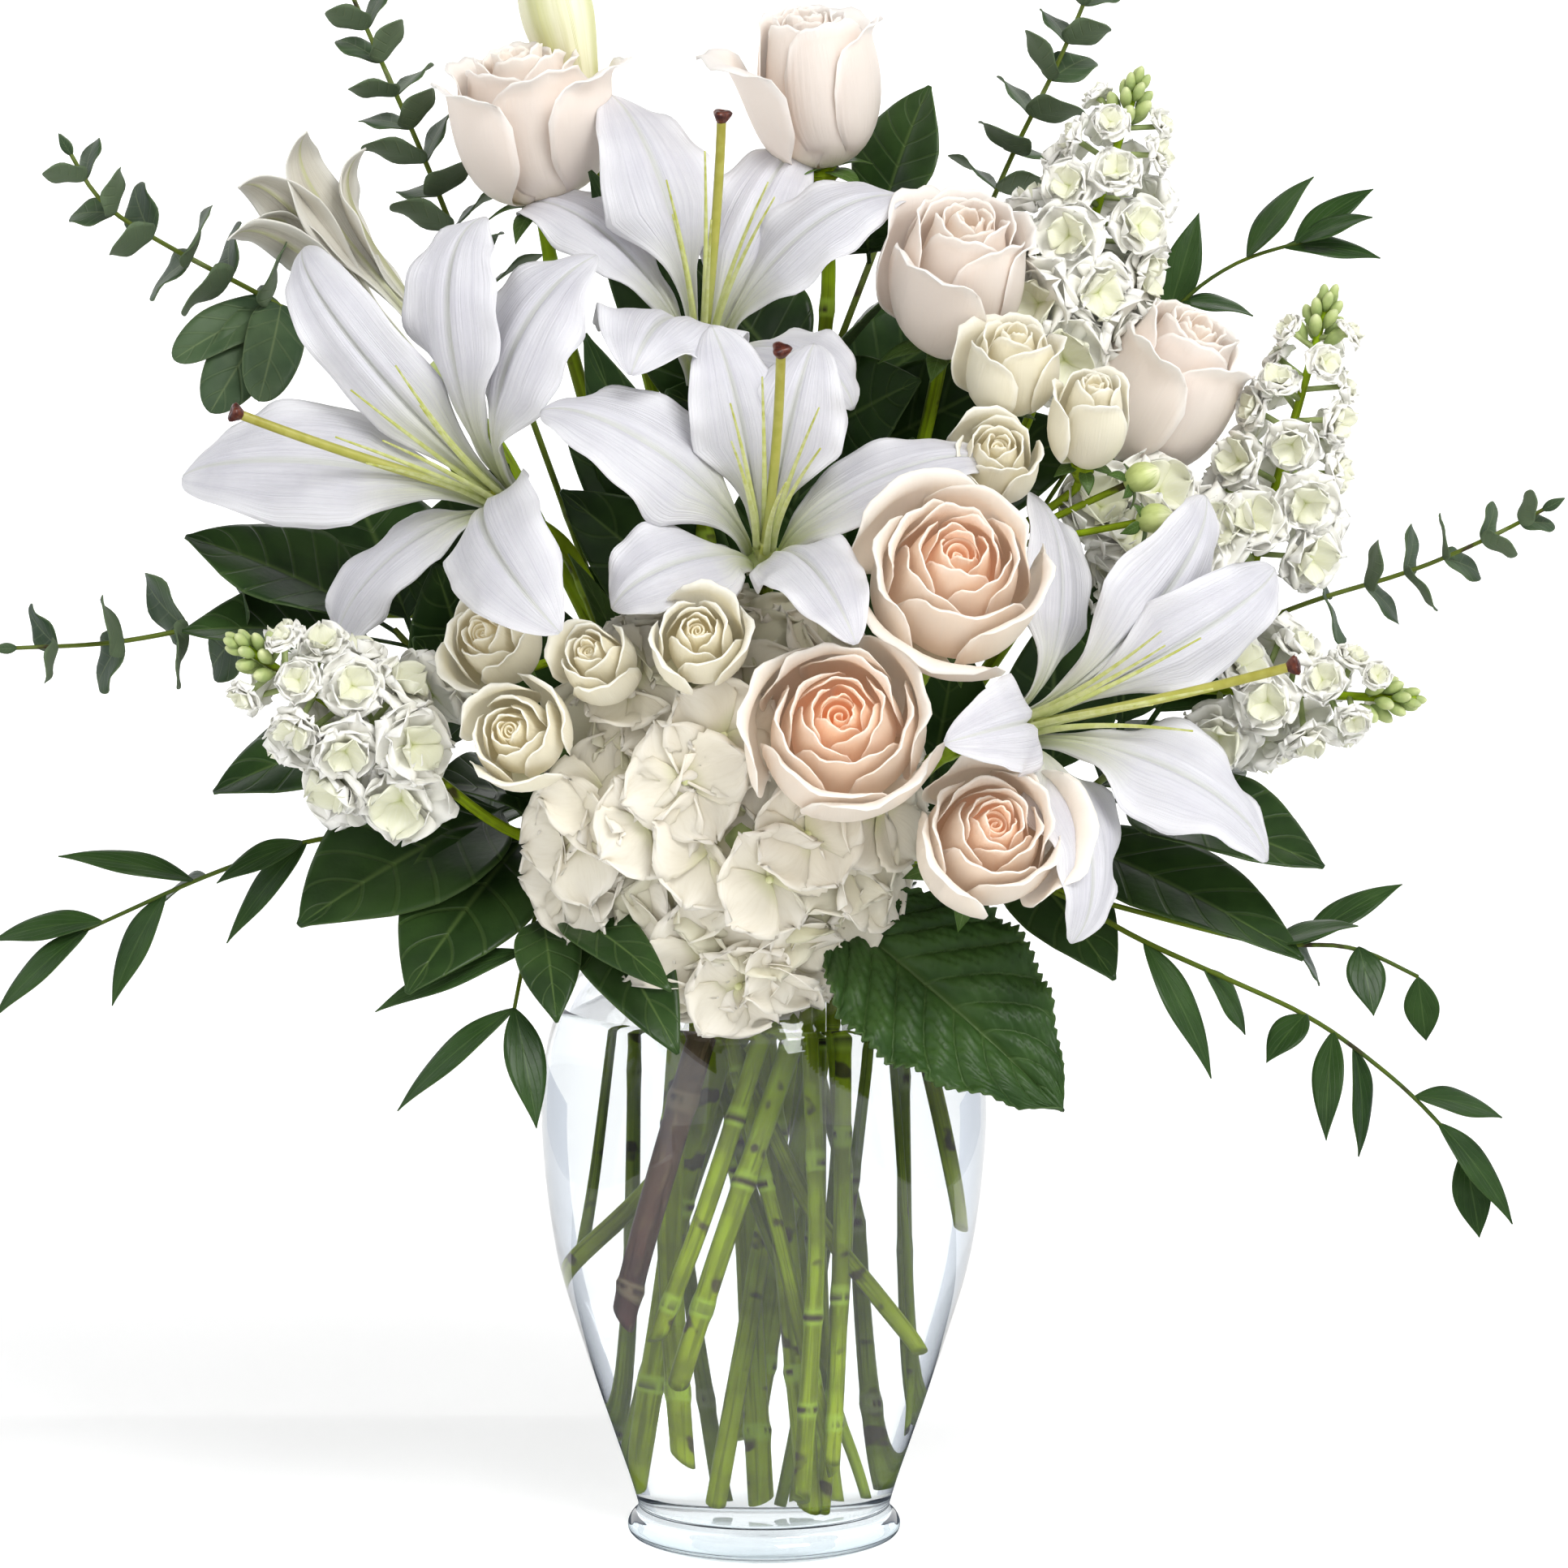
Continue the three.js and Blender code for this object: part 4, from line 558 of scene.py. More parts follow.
def tube(shape, way, radius, look, sides=10, tip=1.0, spacing=5.0, knots=(), cut=0.0):
    """A round stem along a way. It narrows evenly to `tip` of its radius, and swells at its knots,
    which are given as shares of its length. `cut` slants its first end to a point. The face value
    of its form falls from 1 to 0 at a knot."""
    line, length = spaced(eased(way), spacing)
    count = len(line)
    axis = np.gradient(line, axis=0)
    axis /= np.linalg.norm(axis, axis=1, keepdims=True)
    share = np.linspace(0, 1, count)
    near = np.zeros(count)
    for knot in knots:
        near = np.maximum(near, np.exp(-(((share - knot) * length / KNOT["long"]) ** 2)))
    thick = radius * (1 + (tip - 1) * share) * (1 + KNOT["swell"] * near)
    side = level_side(axis[0])
    rings = []
    angle = np.arange(sides) * TURN / sides
    slant = cut * radius * (1 + np.cos(angle + radius * 7))
    for at, forward, r, place in zip(line, axis, thick, share):
        side = unit(side - forward * (side @ forward))
        up = np.cross(forward, side)
        ring = at + r * (np.cos(angle)[:, None] * side + np.sin(angle)[:, None] * up)
        rings.append(ring + forward * (slant * max(1 - place * length / (4 * radius), 0))[:, None])
    ends = [line[:1] + axis[:1] * (cut * radius - 0.1), line[-1:] + axis[-1:] * 0.3 * thick[-1]]
    form = barrel_form(share, sides, 0.5, 1 - near[:, None])
    shape.add(np.vstack([*rings, *ends]), form, barrel(count, sides), look)


def main_stem(shape, way, name, knots, look="stem", sides=12, tip=1.0):
    """A stem of the list, from its slanted cut end."""
    tube(shape, way, STEMS[name]["radius"], look, sides, tip, 3, knots=knots, cut=0.9)


def twig_stem(shape, route, name, look, tip, knots=()):
    way = stem_way(name, route)
    tube(shape, way, STEMS[name]["radius"], look, sides=8, tip=tip, knots=knots, cut=0.6)


def lathe(shape, profile, where, look, sides, relief=None, tone=0.5):
    """A turned solid from [radius, height] pairs that start and end on the axis. relief(angle,
    share) gives how far out to move each point, times its radius, and how far up."""
    profile = np.asarray(profile, float)
    radius, height = profile[1:-1, 0][:, None], profile[1:-1, 1][:, None]
    angle = (np.arange(sides) * TURN / sides)[None, :]
    share = np.linspace(0, 1, len(radius))
    out, up = relief(angle, share[:, None]) if relief else (1.0, 0.0)
    r, h = radius * out + 0 * angle, height + up + 0 * angle
    points = np.stack([r * np.cos(angle), r * np.sin(angle), h], axis=-1).reshape(-1, 3)
    poles = np.array([[0, 0, profile[0, 1]], [0, 0, profile[-1, 1]]])
    points = put(np.vstack([points, poles]), where)
    shape.add(points, barrel_form(share, sides, tone, 1.0), barrel(len(share), sides), look)


def lobes(count, depth, spiral=0):
    """Relief of a turned solid with so many rounded lobes, which may wind round it."""
    return lambda angle, share: (1 + depth * np.cos(count * angle + spiral * share), 0.0)


def ball(shape, at, radius, look, axis, squash, sides=10):
    """A small bead, flattened along its axis."""
    turn = np.linspace(-math.pi / 2, math.pi / 2, sides // 2 + 2)
    profile = np.stack([np.abs(np.cos(turn)) * radius, np.sin(turn) * radius * squash], axis=-1)
    lathe(shape, profile, frame_at(at, axis), look, sides=sides)


# ---------------------------------------------------------------- looks


class Look:
    """A node material. Its colours and its relief come from the form of the surface."""

    def __init__(self, name, **sockets):
        self.material = bpy.data.materials.new(name)
        self.material.use_nodes = True
        self.tree = self.material.node_tree
        self.shader = self.tree.nodes["Principled BSDF"]
        for socket, value in sockets.items():
            self.shader.inputs[socket.replace("_", " ")].default_value = value
        self.shader.inputs["Subsurface Radius"].default_value = (1.0, 1.0, 1.0)
        form = self.node("ShaderNodeAttribute", attribute_name="form")
        parts = self.node("ShaderNodeSeparateColor")
        self.link(form.outputs["Color"], parts.inputs[0])
        self.along, self.across, self.tone = parts.outputs
        self.face = form.outputs["Alpha"]
        self.place = self.node("ShaderNodeTexCoord").outputs["Object"]
        LOOKS[name] = self.material

    def node(self, kind, **settings):
        made = self.tree.nodes.new(kind)
        for name, value in settings.items():
            setattr(made, name, value)
        return made

    def link(self, source, socket):
        self.tree.links.new(source, socket)

    def feed(self, value, socket):
        if isinstance(value, bpy.types.NodeSocket):
            self.link(value, socket)
        else:
            socket.default_value = value

    def math(self, operation, a, b=0.0):
        made = self.node("ShaderNodeMath", operation=operation)
        self.feed(a, made.inputs[0])
        self.feed(b, made.inputs[1])
        return made.outputs[0]

    def height_and_depth(self):
        """How high and how far back a point is, in metres."""
        parts = self.node("ShaderNodeSeparateXYZ")
        self.link(self.place, parts.inputs[0])
        return parts.outputs[2], parts.outputs[1]

    def span(self, value, low, high, start=0.0, end=1.0):
        """value from low..high brought to start..end, smoothly."""
        made = self.node("ShaderNodeMapRange", interpolation_type="SMOOTHSTEP")
        for socket, given in zip(made.inputs, (value, low, high, start, end)):
            self.feed(given, socket)
        return made.outputs[0]

    def ramp(self, value, *stops):
        made = self.node("ShaderNodeValToRGB")
        stripe = made.color_ramp.elements
        while len(stripe) < len(stops):
            stripe.new(0.5)
        for element, (at, colour) in zip(stripe, stops):
            element.position = at
            element.color = (*colour, 1)
        self.link(value, made.inputs[0])
        return made.outputs[0]

    def mix(self, share, a, b):
        made = self.node("ShaderNodeMix", data_type="RGBA")
        self.feed(share, made.inputs["Factor"])
        for value, socket in ((a, made.inputs[6]), (b, made.inputs[7])):  # its two colours
            if isinstance(value, tuple):
                socket.default_value = (*value, 1)
            else:
                self.link(value, socket)
        return made.outputs[2]

    def noise(self, scale, detail=2.0, where=None):
        made = self.node("ShaderNodeTexNoise")
        made.inputs["Scale"].default_value = scale
        made.inputs["Detail"].default_value = detail
        self.link(where or self.place, made.inputs["Vector"])
        return made.outputs["Fac"]

    def streaks(self, across, along):
        """A noise drawn out along the surface, like fine veins."""
        joined = self.node("ShaderNodeCombineXYZ")
        self.link(self.math("MULTIPLY", self.across, across), joined.inputs[0])
        self.link(self.math("MULTIPLY", self.along, along), joined.inputs[1])
        self.link(self.math("MULTIPLY", self.tone, 37.0), joined.inputs[2])
        return self.noise(1.0, 2.0, joined.outputs[0])

    def from_rib(self):
        """0 on the middle rib, 1 at the edges."""
        return self.math("ABSOLUTE", self.math("MULTIPLY", self.math("SUBTRACT", self.across, 0.5), 2.0))

    def bump(self, height, strength, distance):
        made = self.node("ShaderNodeBump")
        made.inputs["Strength"].default_value = strength
        made.inputs["Distance"].default_value = distance
        self.link(height, made.inputs["Height"])
        self.link(made.outputs["Normal"], self.shader.inputs["Normal"])

    def colour(self, value):
        self.link(value, self.shader.inputs["Base Color"])

    def root_to_tip(self, middle, *colours):
        """Three colours along the surface, the second at `middle`."""
        return self.ramp(self.along, *zip((0.0, middle, 1.0), colours))

    def tint(self, base, other, value, low, high, most=1.0):
        """A colour that goes over into another, by up to `most`, as value rises from low to high."""
        return self.mix(self.span(value, low, high, 0.0, most), base, other)

    def mottled(self, scale, dark, light):
        """Patches that wander between two colours."""
        self.colour(self.tint(dark, light, self.noise(scale), 0.3, 0.7))

    def grain(self, scale, strength, distance):
        self.bump(self.noise(scale), strength, distance)

    def painted_glow(self, value, strength):
        """A painted glow: emission that stands in for the light a thin petal lets through."""
        self.link(value, self.shader.inputs["Emission Color"])
        self.shader.inputs["Emission Strength"].default_value = strength

    def rough(self, value):
        self.link(value, self.shader.inputs["Roughness"])


LOOKS = {}


# ---------------------------------------------------------------- stems


def inside_radius(height):
    wall = np.array(GLASS_WALL, float)
    return np.interp(height, wall[:, 1], wall[:, 0])


def start_stems():
    """Straight stems from the foot to the neck, with a knee between."""
    stems = {}
    for name, stem in STEMS.items():
        cut, neck = vec(*stem["foot"]), vec(*stem["slot"], NECK_HEIGHT)
        stems[name] = np.array([cut, neck])
        if STEM_KNEE > cut[2] + 20:
            knee = blend(cut, neck, (STEM_KNEE - cut[2]) / (neck[2] - cut[2]))
            stems[name] = np.array([cut, knee, neck])
    return stems


def level_shares(stems, height):
    """For each stem that crosses a level: how much each of all the knots has a share in its place."""
    rows, present = [], []
    size = sum(len(knots) for knots in stems.values())
    first = 0
    for k, knots in enumerate(stems.values()):
        upper = int(np.argmax(knots[:, 2] >= height))
        if upper >= 1:
            low, high = knots[upper - 1, 2], knots[upper, 2]
            row = np.zeros(size)
            row[first + upper] = (height - low) / (high - low)
            row[first + upper - 1] = 1 - row[first + upper]
            rows.append(row)
            present.append(k)
        first += len(knots)
    return np.array(rows), present


def settle_stems(stems):
    """Pushes neighbours apart level by level until no two stems touch and none touches the glass."""
    lean = 1.18  # a leaning stem is wider across a level than it is round
    rounds, gap, glass_gap = 160, 1, 1.5
    first_level, level_step = 16, 8
    radius = np.array([STEMS[name]["radius"] for name in stems]) * lean
    free = np.concatenate([[1.0] * (len(knots) - 1) + [0.0] for knots in stems.values()])
    knots = np.vstack(list(stems.values()))
    heights = range(first_level, NECK_HEIGHT, level_step)
    levels = [(height, *level_shares(stems, height)) for height in heights]
    for _ in range(rounds):
        for height, shares, present in levels:
            at = shares @ knots[:, :2]
            thick = radius[present]
            apart = at[None] - at[:, None]
            distance = np.maximum(np.linalg.norm(apart, axis=-1), 1e-6)
            need = thick[:, None] + thick[None] + gap
            push = np.where(distance < need, (need - distance) / 2 / distance, 0)
            np.fill_diagonal(push, 0)
            move = -(apart * push[..., None]).sum(axis=1)
            out = np.maximum(np.linalg.norm(at, axis=1), 1e-6)
            room = inside_radius(height) - thick - glass_gap
            move += at * np.minimum(room / out - 1, 0)[:, None]
            knots[:, :2] += (shares * free).T @ move
    ends = np.cumsum([len(way) for way in stems.values()])
    return dict(zip(stems, np.split(knots, ends[:-1])))


def stem_way(name, bends=()):
    """The whole way of a stem: up through the vase and the neck, then by its bends to its end."""
    return [*stem_knots[name], *vecs(STEMS[name].get("via", [])), *bends]


def way_to_bloom(name, base, axis, straight=30):
    """The way of a stem that carries a bloom: halfway up, then into line with the bloom."""
    if "via" in STEMS[name]:
        return stem_way(name, [base])
    turn = base - axis * straight
    neck = stem_knots[name][-1]
    return stem_way(name, [blend(neck, turn, 0.5), turn, base])


def joints_of(seed, count):
    """Places of the knots of a stem, as shares of its length."""
    return [(k + 0.5 + 0.3 * draw(seed + k)) / count for k in range(count)]


# ---------------------------------------------------------------- lilies

PETAL_GRID = (44, 21)
GROOVE = 2.2  # depth of the groove along a petal's rib


def from_front_view(tip, reach, axis):
    """A tip is read off a front view: right, up, and how far along the flower's axis it reaches."""
    right, up = tip
    return vec(right, (reach - right * axis[0] - up * axis[2]) / axis[1], up)


def petal_width(t, blunt):
    """Broadest beyond the middle, and blunt before its small point."""
    swell = np.sin(math.pi * np.minimum(t, 0.999) ** 1.12) ** blunt
    return swell * (1.04 - 0.1 * t) + 0.16 * (1 - t) + 0.03


def petal_rooms(base, axis, tips):
    """How wide each petal may be for its distance from the axis before it meets its neighbours."""
    where = frame_at(base, axis)
    angles = [math.atan2((tip - base) @ where[1], (tip - base) @ where[0]) for tip in tips]
    rooms = []
    for k, angle in enumerate(angles):
        gaps = [math.acos(math.cos(other - angle)) for j, other in enumerate(angles) if j != k]
        rooms.append(1.12 * math.tan(min(*gaps, 1.2) / 2))
    return rooms


def lily_petal(base, axis, tip, half, curl, room, seed, ruffle, blunt):
    """A long petal: up the funnel and out to its tip, with a grooved rib and waved edges."""
    rows, columns = PETAL_GRID
    t = np.linspace(0, 1, rows)
    s = np.linspace(1, -1, columns)[None, :, None]
    reach = tip - base
    long = np.linalg.norm(reach)
    radial = unit(reach - axis * (reach @ axis))
    side = unit(np.cross(axis, radial))
    ending = radial * math.cos(curl) - axis * math.sin(curl)
    knots = [base + radial * 4.5, base + axis * long * 0.42 + radial * 9, tip - ending * long * 0.34, tip]
    rib = bezier(knots, t)
    tangent = np.gradient(rib, axis=0)
    back = np.cross(side, tangent)
    back /= np.linalg.norm(back, axis=1, keepdims=True)
    out = (rib - base) @ radial
    share = room * out + half * smooth((t - 0.2) * 2.2)
    width = np.minimum(half * petal_width(t, blunt), share)[:, None, None]
    t = t[:, None, None]
    grown = smooth(t * 3)
    cup = 0.3 * width * s**2 * (1 - 0.8 * t)
    wave = 0.2 * width * s**2 * np.sin(9 * t + seed + 2 * s) * grown
    frill = np.sin(17 * t + seed * 2.1 + 1.5 * s) + 0.7 * np.sin(33 * t + seed * 3.7 - 2 * s)
    frill = ruffle * 0.095 * half * np.abs(s) ** 3 * frill * grown * smooth((1 - t) * 6)
    groove = GROOVE * np.exp(-((s / 0.07) ** 2)) * smooth((1 - t) * 2.5)
    ridges = -0.8 * np.exp(-(((np.abs(s) - 0.2) / 0.1) ** 2)) * smooth((1 - t) * 3)
    twist = 0.12 * width * s * math.sin(seed * 1.7) * smooth((t - 0.5) * 2)
    lift = cup + wave + frill + groove + ridges + twist
    return rib[:, None] + side * width * s + back[:, None] * lift


def lily_flower(shape, base, axis, petals, seed, ruffle=1.0, blunt=0.66, look="lily"):
    """Each petal has its tip, its half width and how far its tip curls over."""
    rooms = petal_rooms(base, axis, [tip for tip, _, _ in petals])
    for k, (petal, room) in enumerate(zip(petals, rooms)):
        grid = lily_petal(base, axis, *petal, room, seed + k, ruffle, blunt)
        sheet(shape, grid, LILY["thick"], look, tone=0.5 + 0.5 * draw(seed + 3 * k))
    lathe(shape, LILY["foot"], frame_at(base, axis), "lily_throat", sides=24)


def filament(shape, where, long, lean, seed):
    """A stamen without its anther: a fine stalk that bows outwards to a point."""
    t = np.linspace(0, 1, 7)
    side = 3 * draw(seed) * t**2
    line = np.stack([3 + (lean - 3) * t**1.5, side, 12 + (long - 12) * t], axis=-1)
    tube(shape, put(line, where), LILY["filament"], "filament", sides=8, tip=0.25, spacing=3)


def lily_heart(shape, lily, base, axis, number):
    where = frame_at(base, axis)
    lathe(shape, LILY["hub"], where, "filament", sides=24, relief=lobes(6, 0.1))
    for k in range(6):
        angle = (k + 0.5 + 0.22 * draw(number * 10 + k)) * TURN / 6
        long = LILY["depth"] + LILY["stamen"] + 4 * draw(number * 20 + k)
        lean = 17 + 4 * draw(k + number)
        filament(shape, frame_at(base, axis, angle), long, lean, number * 30 + k)
    end = base + axis * LILY["depth"] + from_front_view(lily["pistil"], LILY["pistil"], axis)
    start = base + axis * 11
    middle = blend(start, end, 0.55) + 3 * level_side(axis) * draw(number) - UP * 2
    style = bezier([start, middle, end], np.linspace(0, 1, 12))
    tube(shape, style, LILY["style"], "style", sides=12, tip=0.95, spacing=3)
    stigma(shape, end, unit(style[-1] - style[-2]))


def stigma(shape, at, axis):
    """The knob at the end of the pistil: three rounded lobes with a groove between them."""
    knob = [(0, -2.6), (1.3, -2.4), (2, -1.4), (2.9, 0.2), (3.1, 1.2), (2.4, 2), (1.2, 2.1), (0, 1.5)]

    def lobed(angle, share):
        return 1 + 0.22 * np.cos(3 * angle) * smooth(share * 1.6), 0.0

    lathe(shape, knob, frame_at(at, axis), "stigma", sides=24, relief=lobed)


def make_lily(lily, number):
    throat, axis = vec(*lily["throat"]), unit(vec(*lily["axis"]))
    base = throat - axis * LILY["depth"]
    petals = [
        (throat + from_front_view(tip, reach, axis), half, curl)
        for tip, reach, half, curl in lily["petals"]
    ]
    flower = Shape()
    lily_flower(flower, base, axis, petals, number * 7)
    flower.finish(f"lily_{number}_petals", "lily")
    heart = Shape()
    lily_heart(heart, lily, base, axis, number)
    heart.finish(f"lily_{number}_stamens", "stamen")


def make_opening_lily():
    """The flower that is just opening: a narrow trumpet whose pointed lips begin to part."""
    base, axis = vec(*OPENING_LILY["base"]), unit(vec(*OPENING_LILY["axis"]))
    shape = Shape()
    petals = [(vec(*tip), half, curl) for tip, half, curl in OPENING_LILY["petals"]]
    lily_flower(shape, base, axis, petals, 41, ruffle=0.4, blunt=0.85, look="young_lily")
    shape.finish("lily_5_petals", "lily")


def make_lily_bud():
    """A long closed bud: three broad ridges with a groove between them, drawn to a blunt point."""
    base, tip = vec(*LILY_BUD["base"]), vec(*LILY_BUD["tip"])
    tall, r = np.linalg.norm(tip - base), LILY_BUD["radius"]
    outline = [
        (0, -0.02), (0.3, -0.015), (0.42, 0.02), (0.56, 0.12), (0.78, 0.3), (0.95, 0.46), (1, 0.56),
        (0.96, 0.68), (0.8, 0.82), (0.55, 0.92), (0.28, 0.98), (0, 1),
    ]
    profile = flow([(a * r, h * tall) for a, h in outline], 4)

    def ridged(angle, share):
        swell = np.sin(math.pi * share) ** 0.5
        return 1 + swell * (0.1 * np.cos(3 * angle) + 0.045 * np.cos(6 * angle)), 0.0

    shape = Shape()
    lathe(shape, profile, frame_at(base, tip - base), "bud", sides=72, relief=ridged)
    shape.finish("lily_6_bud", "bud")


def make_lily_stems():
    for number, lily in enumerate(LILIES, 1):
        throat, axis = vec(*lily["throat"]), unit(vec(*lily["axis"]))
        name = f"lily_{number}"
        way = way_to_bloom(name, throat - axis * (LILY["depth"] + 4), axis)
        shape = Shape()
        main_stem(shape, way, name, joints_of(number, 5), tip=0.8)
        if number == 1:
            axis = unit(vec(*OPENING_LILY["axis"]))
            lily_side_stem(shape, way, vec(*OPENING_LILY["base"]), axis)
            lily_leaf(shape, way[-3], (-66, -34, 346))
        if number == 2:
            base = vec(*LILY_BUD["base"])
            lily_side_stem(shape, way, base, unit(vec(*LILY_BUD["tip"]) - base))
        shape.finish(f"{name}_stem", "stem")


def lily_side_stem(shape, way, base, axis):
    """A side stem leaves the main one below its last bend and runs to the base of another flower."""
    tube(shape, [way[-3], base - axis * 32, base - axis * 4], LILY["branch"], "stem")


def lily_leaf(shape, root, tip):
    grid = leaf_grid(root, vec(*tip), 7, face=(0, -0.6, 0.8), outline=lance_width)
    sheet(shape, grid, 0.8, "leaf")


# ---------------------------------------------------------------- roses

ROSE = dict(count=19, grid=(20, 17))  # petals, and rows and columns of points in each
SMALL_ROSE = dict(count=13, grid=(14, 13))
ROSE_THICK = 0.5
LOOSE = 3  # how many of the outermost petals always bend out
LIP = 0.72  # where along a petal its lip begins


def cubic(knots, t):
    """A cubic Bezier curve at each t of a grid, one value a knot."""
    a, b, c, d = knots
    u = 1 - t
    return a * u**3 + 3 * b * t * u**2 + 3 * c * t**2 * u + d * t**3


def rose_petal(radius, height, order, bend, seed, grid, drop):
    """A petal in the frame of its bloom: it cups round the heart, then its lip rolls back. order is
    0 at the heart and 1 outside, bend how far the petal has opened and drop how much it sinks then."""
    t = np.linspace(0, 1, grid[0])[:, None]
    s = np.linspace(-1, 1, grid[1])[None, :]
    off = np.abs(s)
    run = t * (1 - 0.4 * off**3 + 0.04 * draw(seed) * s)
    ring = radius * (0.24 + 0.6 * order) * (1 + 0.04 * draw(seed + 2))
    lip = height * (0.12 + 0.1 * bend)
    top = height * (1 - 0.04 * order - drop * bend**1.5 + 0.025 * draw(seed + 3)) - 0.6 * lip
    mouth = ring * (0.62 + 0.28 * order + 0.26 * bend + 0.85 * max(bend - 0.8, 0))
    share = np.minimum(run / LIP, 1)
    belly = 1.1 + 0.1 * order
    r = cubic((0.1 * radius, ring * belly, ring * belly, mouth), share)
    h = cubic((0, 0.02 * height, 0.62 * top, top), share)
    rise = math.atan2(0.38 * top, mouth - ring * belly)
    roll = (0.25 + 2.3 * min(bend, 0.9)) * (0.6 + 0.55 * off**1.5)
    length = lip * np.maximum((run - LIP) / (1 - LIP), 0)
    curve = roll / lip
    r = r + (math.sin(rise) - np.sin(rise - curve * length)) / curve
    h = h + (np.cos(rise - curve * length) - math.cos(rise)) / curve
    sides = smooth((off - 0.6) / 0.4) * smooth((run - 0.25) / 0.4)
    r = r * (1 + 0.08 * s) + 0.07 * radius * bend * sides
    upper = smooth((run - 0.5) / 0.5)
    h = h + 0.018 * height * upper * np.sin(4 * s + seed) * (0.3 + off)
    r = r + 0.02 * radius * upper * np.sin(6 * s + 2 * seed) * (0.2 + off)
    lips = smooth((run - LIP) / (1 - LIP)) * (0.4 + bend)
    h = h + 0.014 * height * lips * np.sin(13 * s + 3 * seed)
    r = r + 0.02 * radius * lips * np.sin(11 * s + 5 * seed)
    r = r + 0.012 * radius * np.sin(9 * run + 3 * s + seed)
    half = 1.35 - 0.42 * order
    phi = half * s * (0.4 + 0.6 * smooth(run / 0.45))
    return np.stack([r * np.cos(phi), r * np.sin(phi), h], axis=-1)


def rose_heart(shape, radius, height, where, look, tone):
    """The tight coil of petals in the middle."""
    turns = 2.6
    t = np.linspace(0, 1, 10)[:, None]
    s = np.linspace(0, 1, 72)[None, :]
    phi = s * turns * TURN
    r = radius * (0.02 + 0.2 * s) * (0.7 + 0.3 * smooth(t * 2)) * (1 - 0.16 * smooth((t - 0.6) / 0.4))
    h = height * (0.35 + (0.53 + 0.025 * np.cos(phi * 1.3) + 0.03 * s) * t)
    points = np.stack([r * np.cos(phi), r * np.sin(phi), h], axis=-1)
    sheet(shape, put(points, where), ROSE_THICK, look, tone)


def rose_bloom(rose, seed, look, count, grid):
    """tone falls from the heart to the outside: it carries the warmer colour within."""
    axis = unit(vec(*rose["axis"]))
    radius, height, warmth = rose["radius"], rose["height"], rose.get("warmth", 0.7)
    shape = Shape()
    foot = vec(*rose["at"]) - axis * height / 2
    rose_heart(shape, radius, height, frame_at(foot, axis, seed), look, warmth)
    for k in range(count):
        order = ((k + 0.5) / count) ** 0.9
        bend = rose["opened"] * order**1.5
        if k >= count - LOOSE:
            bend = max(bend, rose.get("loose", 0.8) * (0.8 + 0.3 * draw(seed + k)))
        turn = rose.get("turn", 0.0) + seed + k * GOLDEN + 0.15 * draw(seed * 31 + k)
        where = frame_at(foot, axis, turn)
        drop = rose.get("drop", 0.2)
        points = rose_petal(radius, height, order, bend, seed * 17 + k, grid, drop)
        tone = warmth * (1 - order) ** 1.2 + 0.05 * draw(seed + k)
        sheet(shape, put(points, where), ROSE_THICK, look, tone=max(tone, 0.0))
    cup = [(0, -1.5), (0.1, -1), (0.16, 0.5), (0.2, 2.5), (0.14, 3.5), (0, 4)]
    lathe(shape, [(r * radius, h) for r, h in cup], frame_at(foot, axis), look, sides=16)
    return shape


def sepals(shape, base, axis, seed, reach, half):
    """Five pointed green leaves under a rose, some folded down."""
    for k in range(5):
        where = frame_at(base - axis * 1.2, axis, seed + k * TURN / 5)
        droop = 0.25 + 0.75 * (0.5 + 0.5 * draw(seed * 9 + k))
        tip = put(vec(reach * (0.75 + 0.2 * droop), 0, reach * (0.35 - 1.0 * droop)), where)
        root = put(vec(1.5, 0, 0), where)
        grid = leaf_grid(root, tip, half, axis, lance_width, arch=0.22, rows=12, columns=5)
        sheet(shape, grid, LEAF_THICK, "leaf")


def calyx(shape, base, axis, radius):
    """The swollen green cup between a stem and its bloom."""
    cup = [(0, -8), (0.35, -7.6), (0.6, -5.5), (0.95, -3), (1, -1), (0.8, 0.4), (0, 1)]
    lathe(shape, [(r * radius, h) for r, h in cup], frame_at(base, axis), "stem", sides=16)


def rose_base(rose):
    """Where the stem meets the bloom, and the way the bloom faces."""
    axis = unit(vec(*rose["axis"]))
    return vec(*rose["at"]) - axis * (rose["height"] / 2 + 1), axis


def make_roses():
    for number, rose in enumerate(ROSES, 1):
        name = f"rose_{number}"
        base, axis = rose_base(rose)
        way = [*way_to_bloom(name, base - axis * CALYX["rose"], axis), base]
        stem = Shape()
        main_stem(stem, way, name, joints_of(number + 10, 6), tip=0.8)
        calyx(stem, base, axis, CALYX["rose"])
        sepals(stem, base, axis, number, reach=24, half=4)
        stem.finish(f"{name}_stem", "stem")
        look = rose["look"]
        rose_bloom(rose, number, look, **ROSE).finish(f"{name}_bloom", look)


def make_spray_roses():
    for number, rose in enumerate(SPRAY_ROSES, 1):
        shape = rose_bloom(rose, number + 10, "ivory", **SMALL_ROSE)
        shape.finish(f"spray_rose_{number}_bloom", "ivory")
    for side in ("left", "right"):
        way = stem_way(f"spray_{side}")
        fork = way[-1]
        stem = Shape()
        main_stem(stem, way, f"spray_{side}", joints_of(40, 5))
        for number, rose in enumerate(SPRAY_ROSES):
            if rose["side"] == side:
                spray_twig(stem, rose, fork, number)
        if side == "right":
            spray_buds(stem, fork)
        stem.finish(f"spray_rose_stem_{side}", "stem")


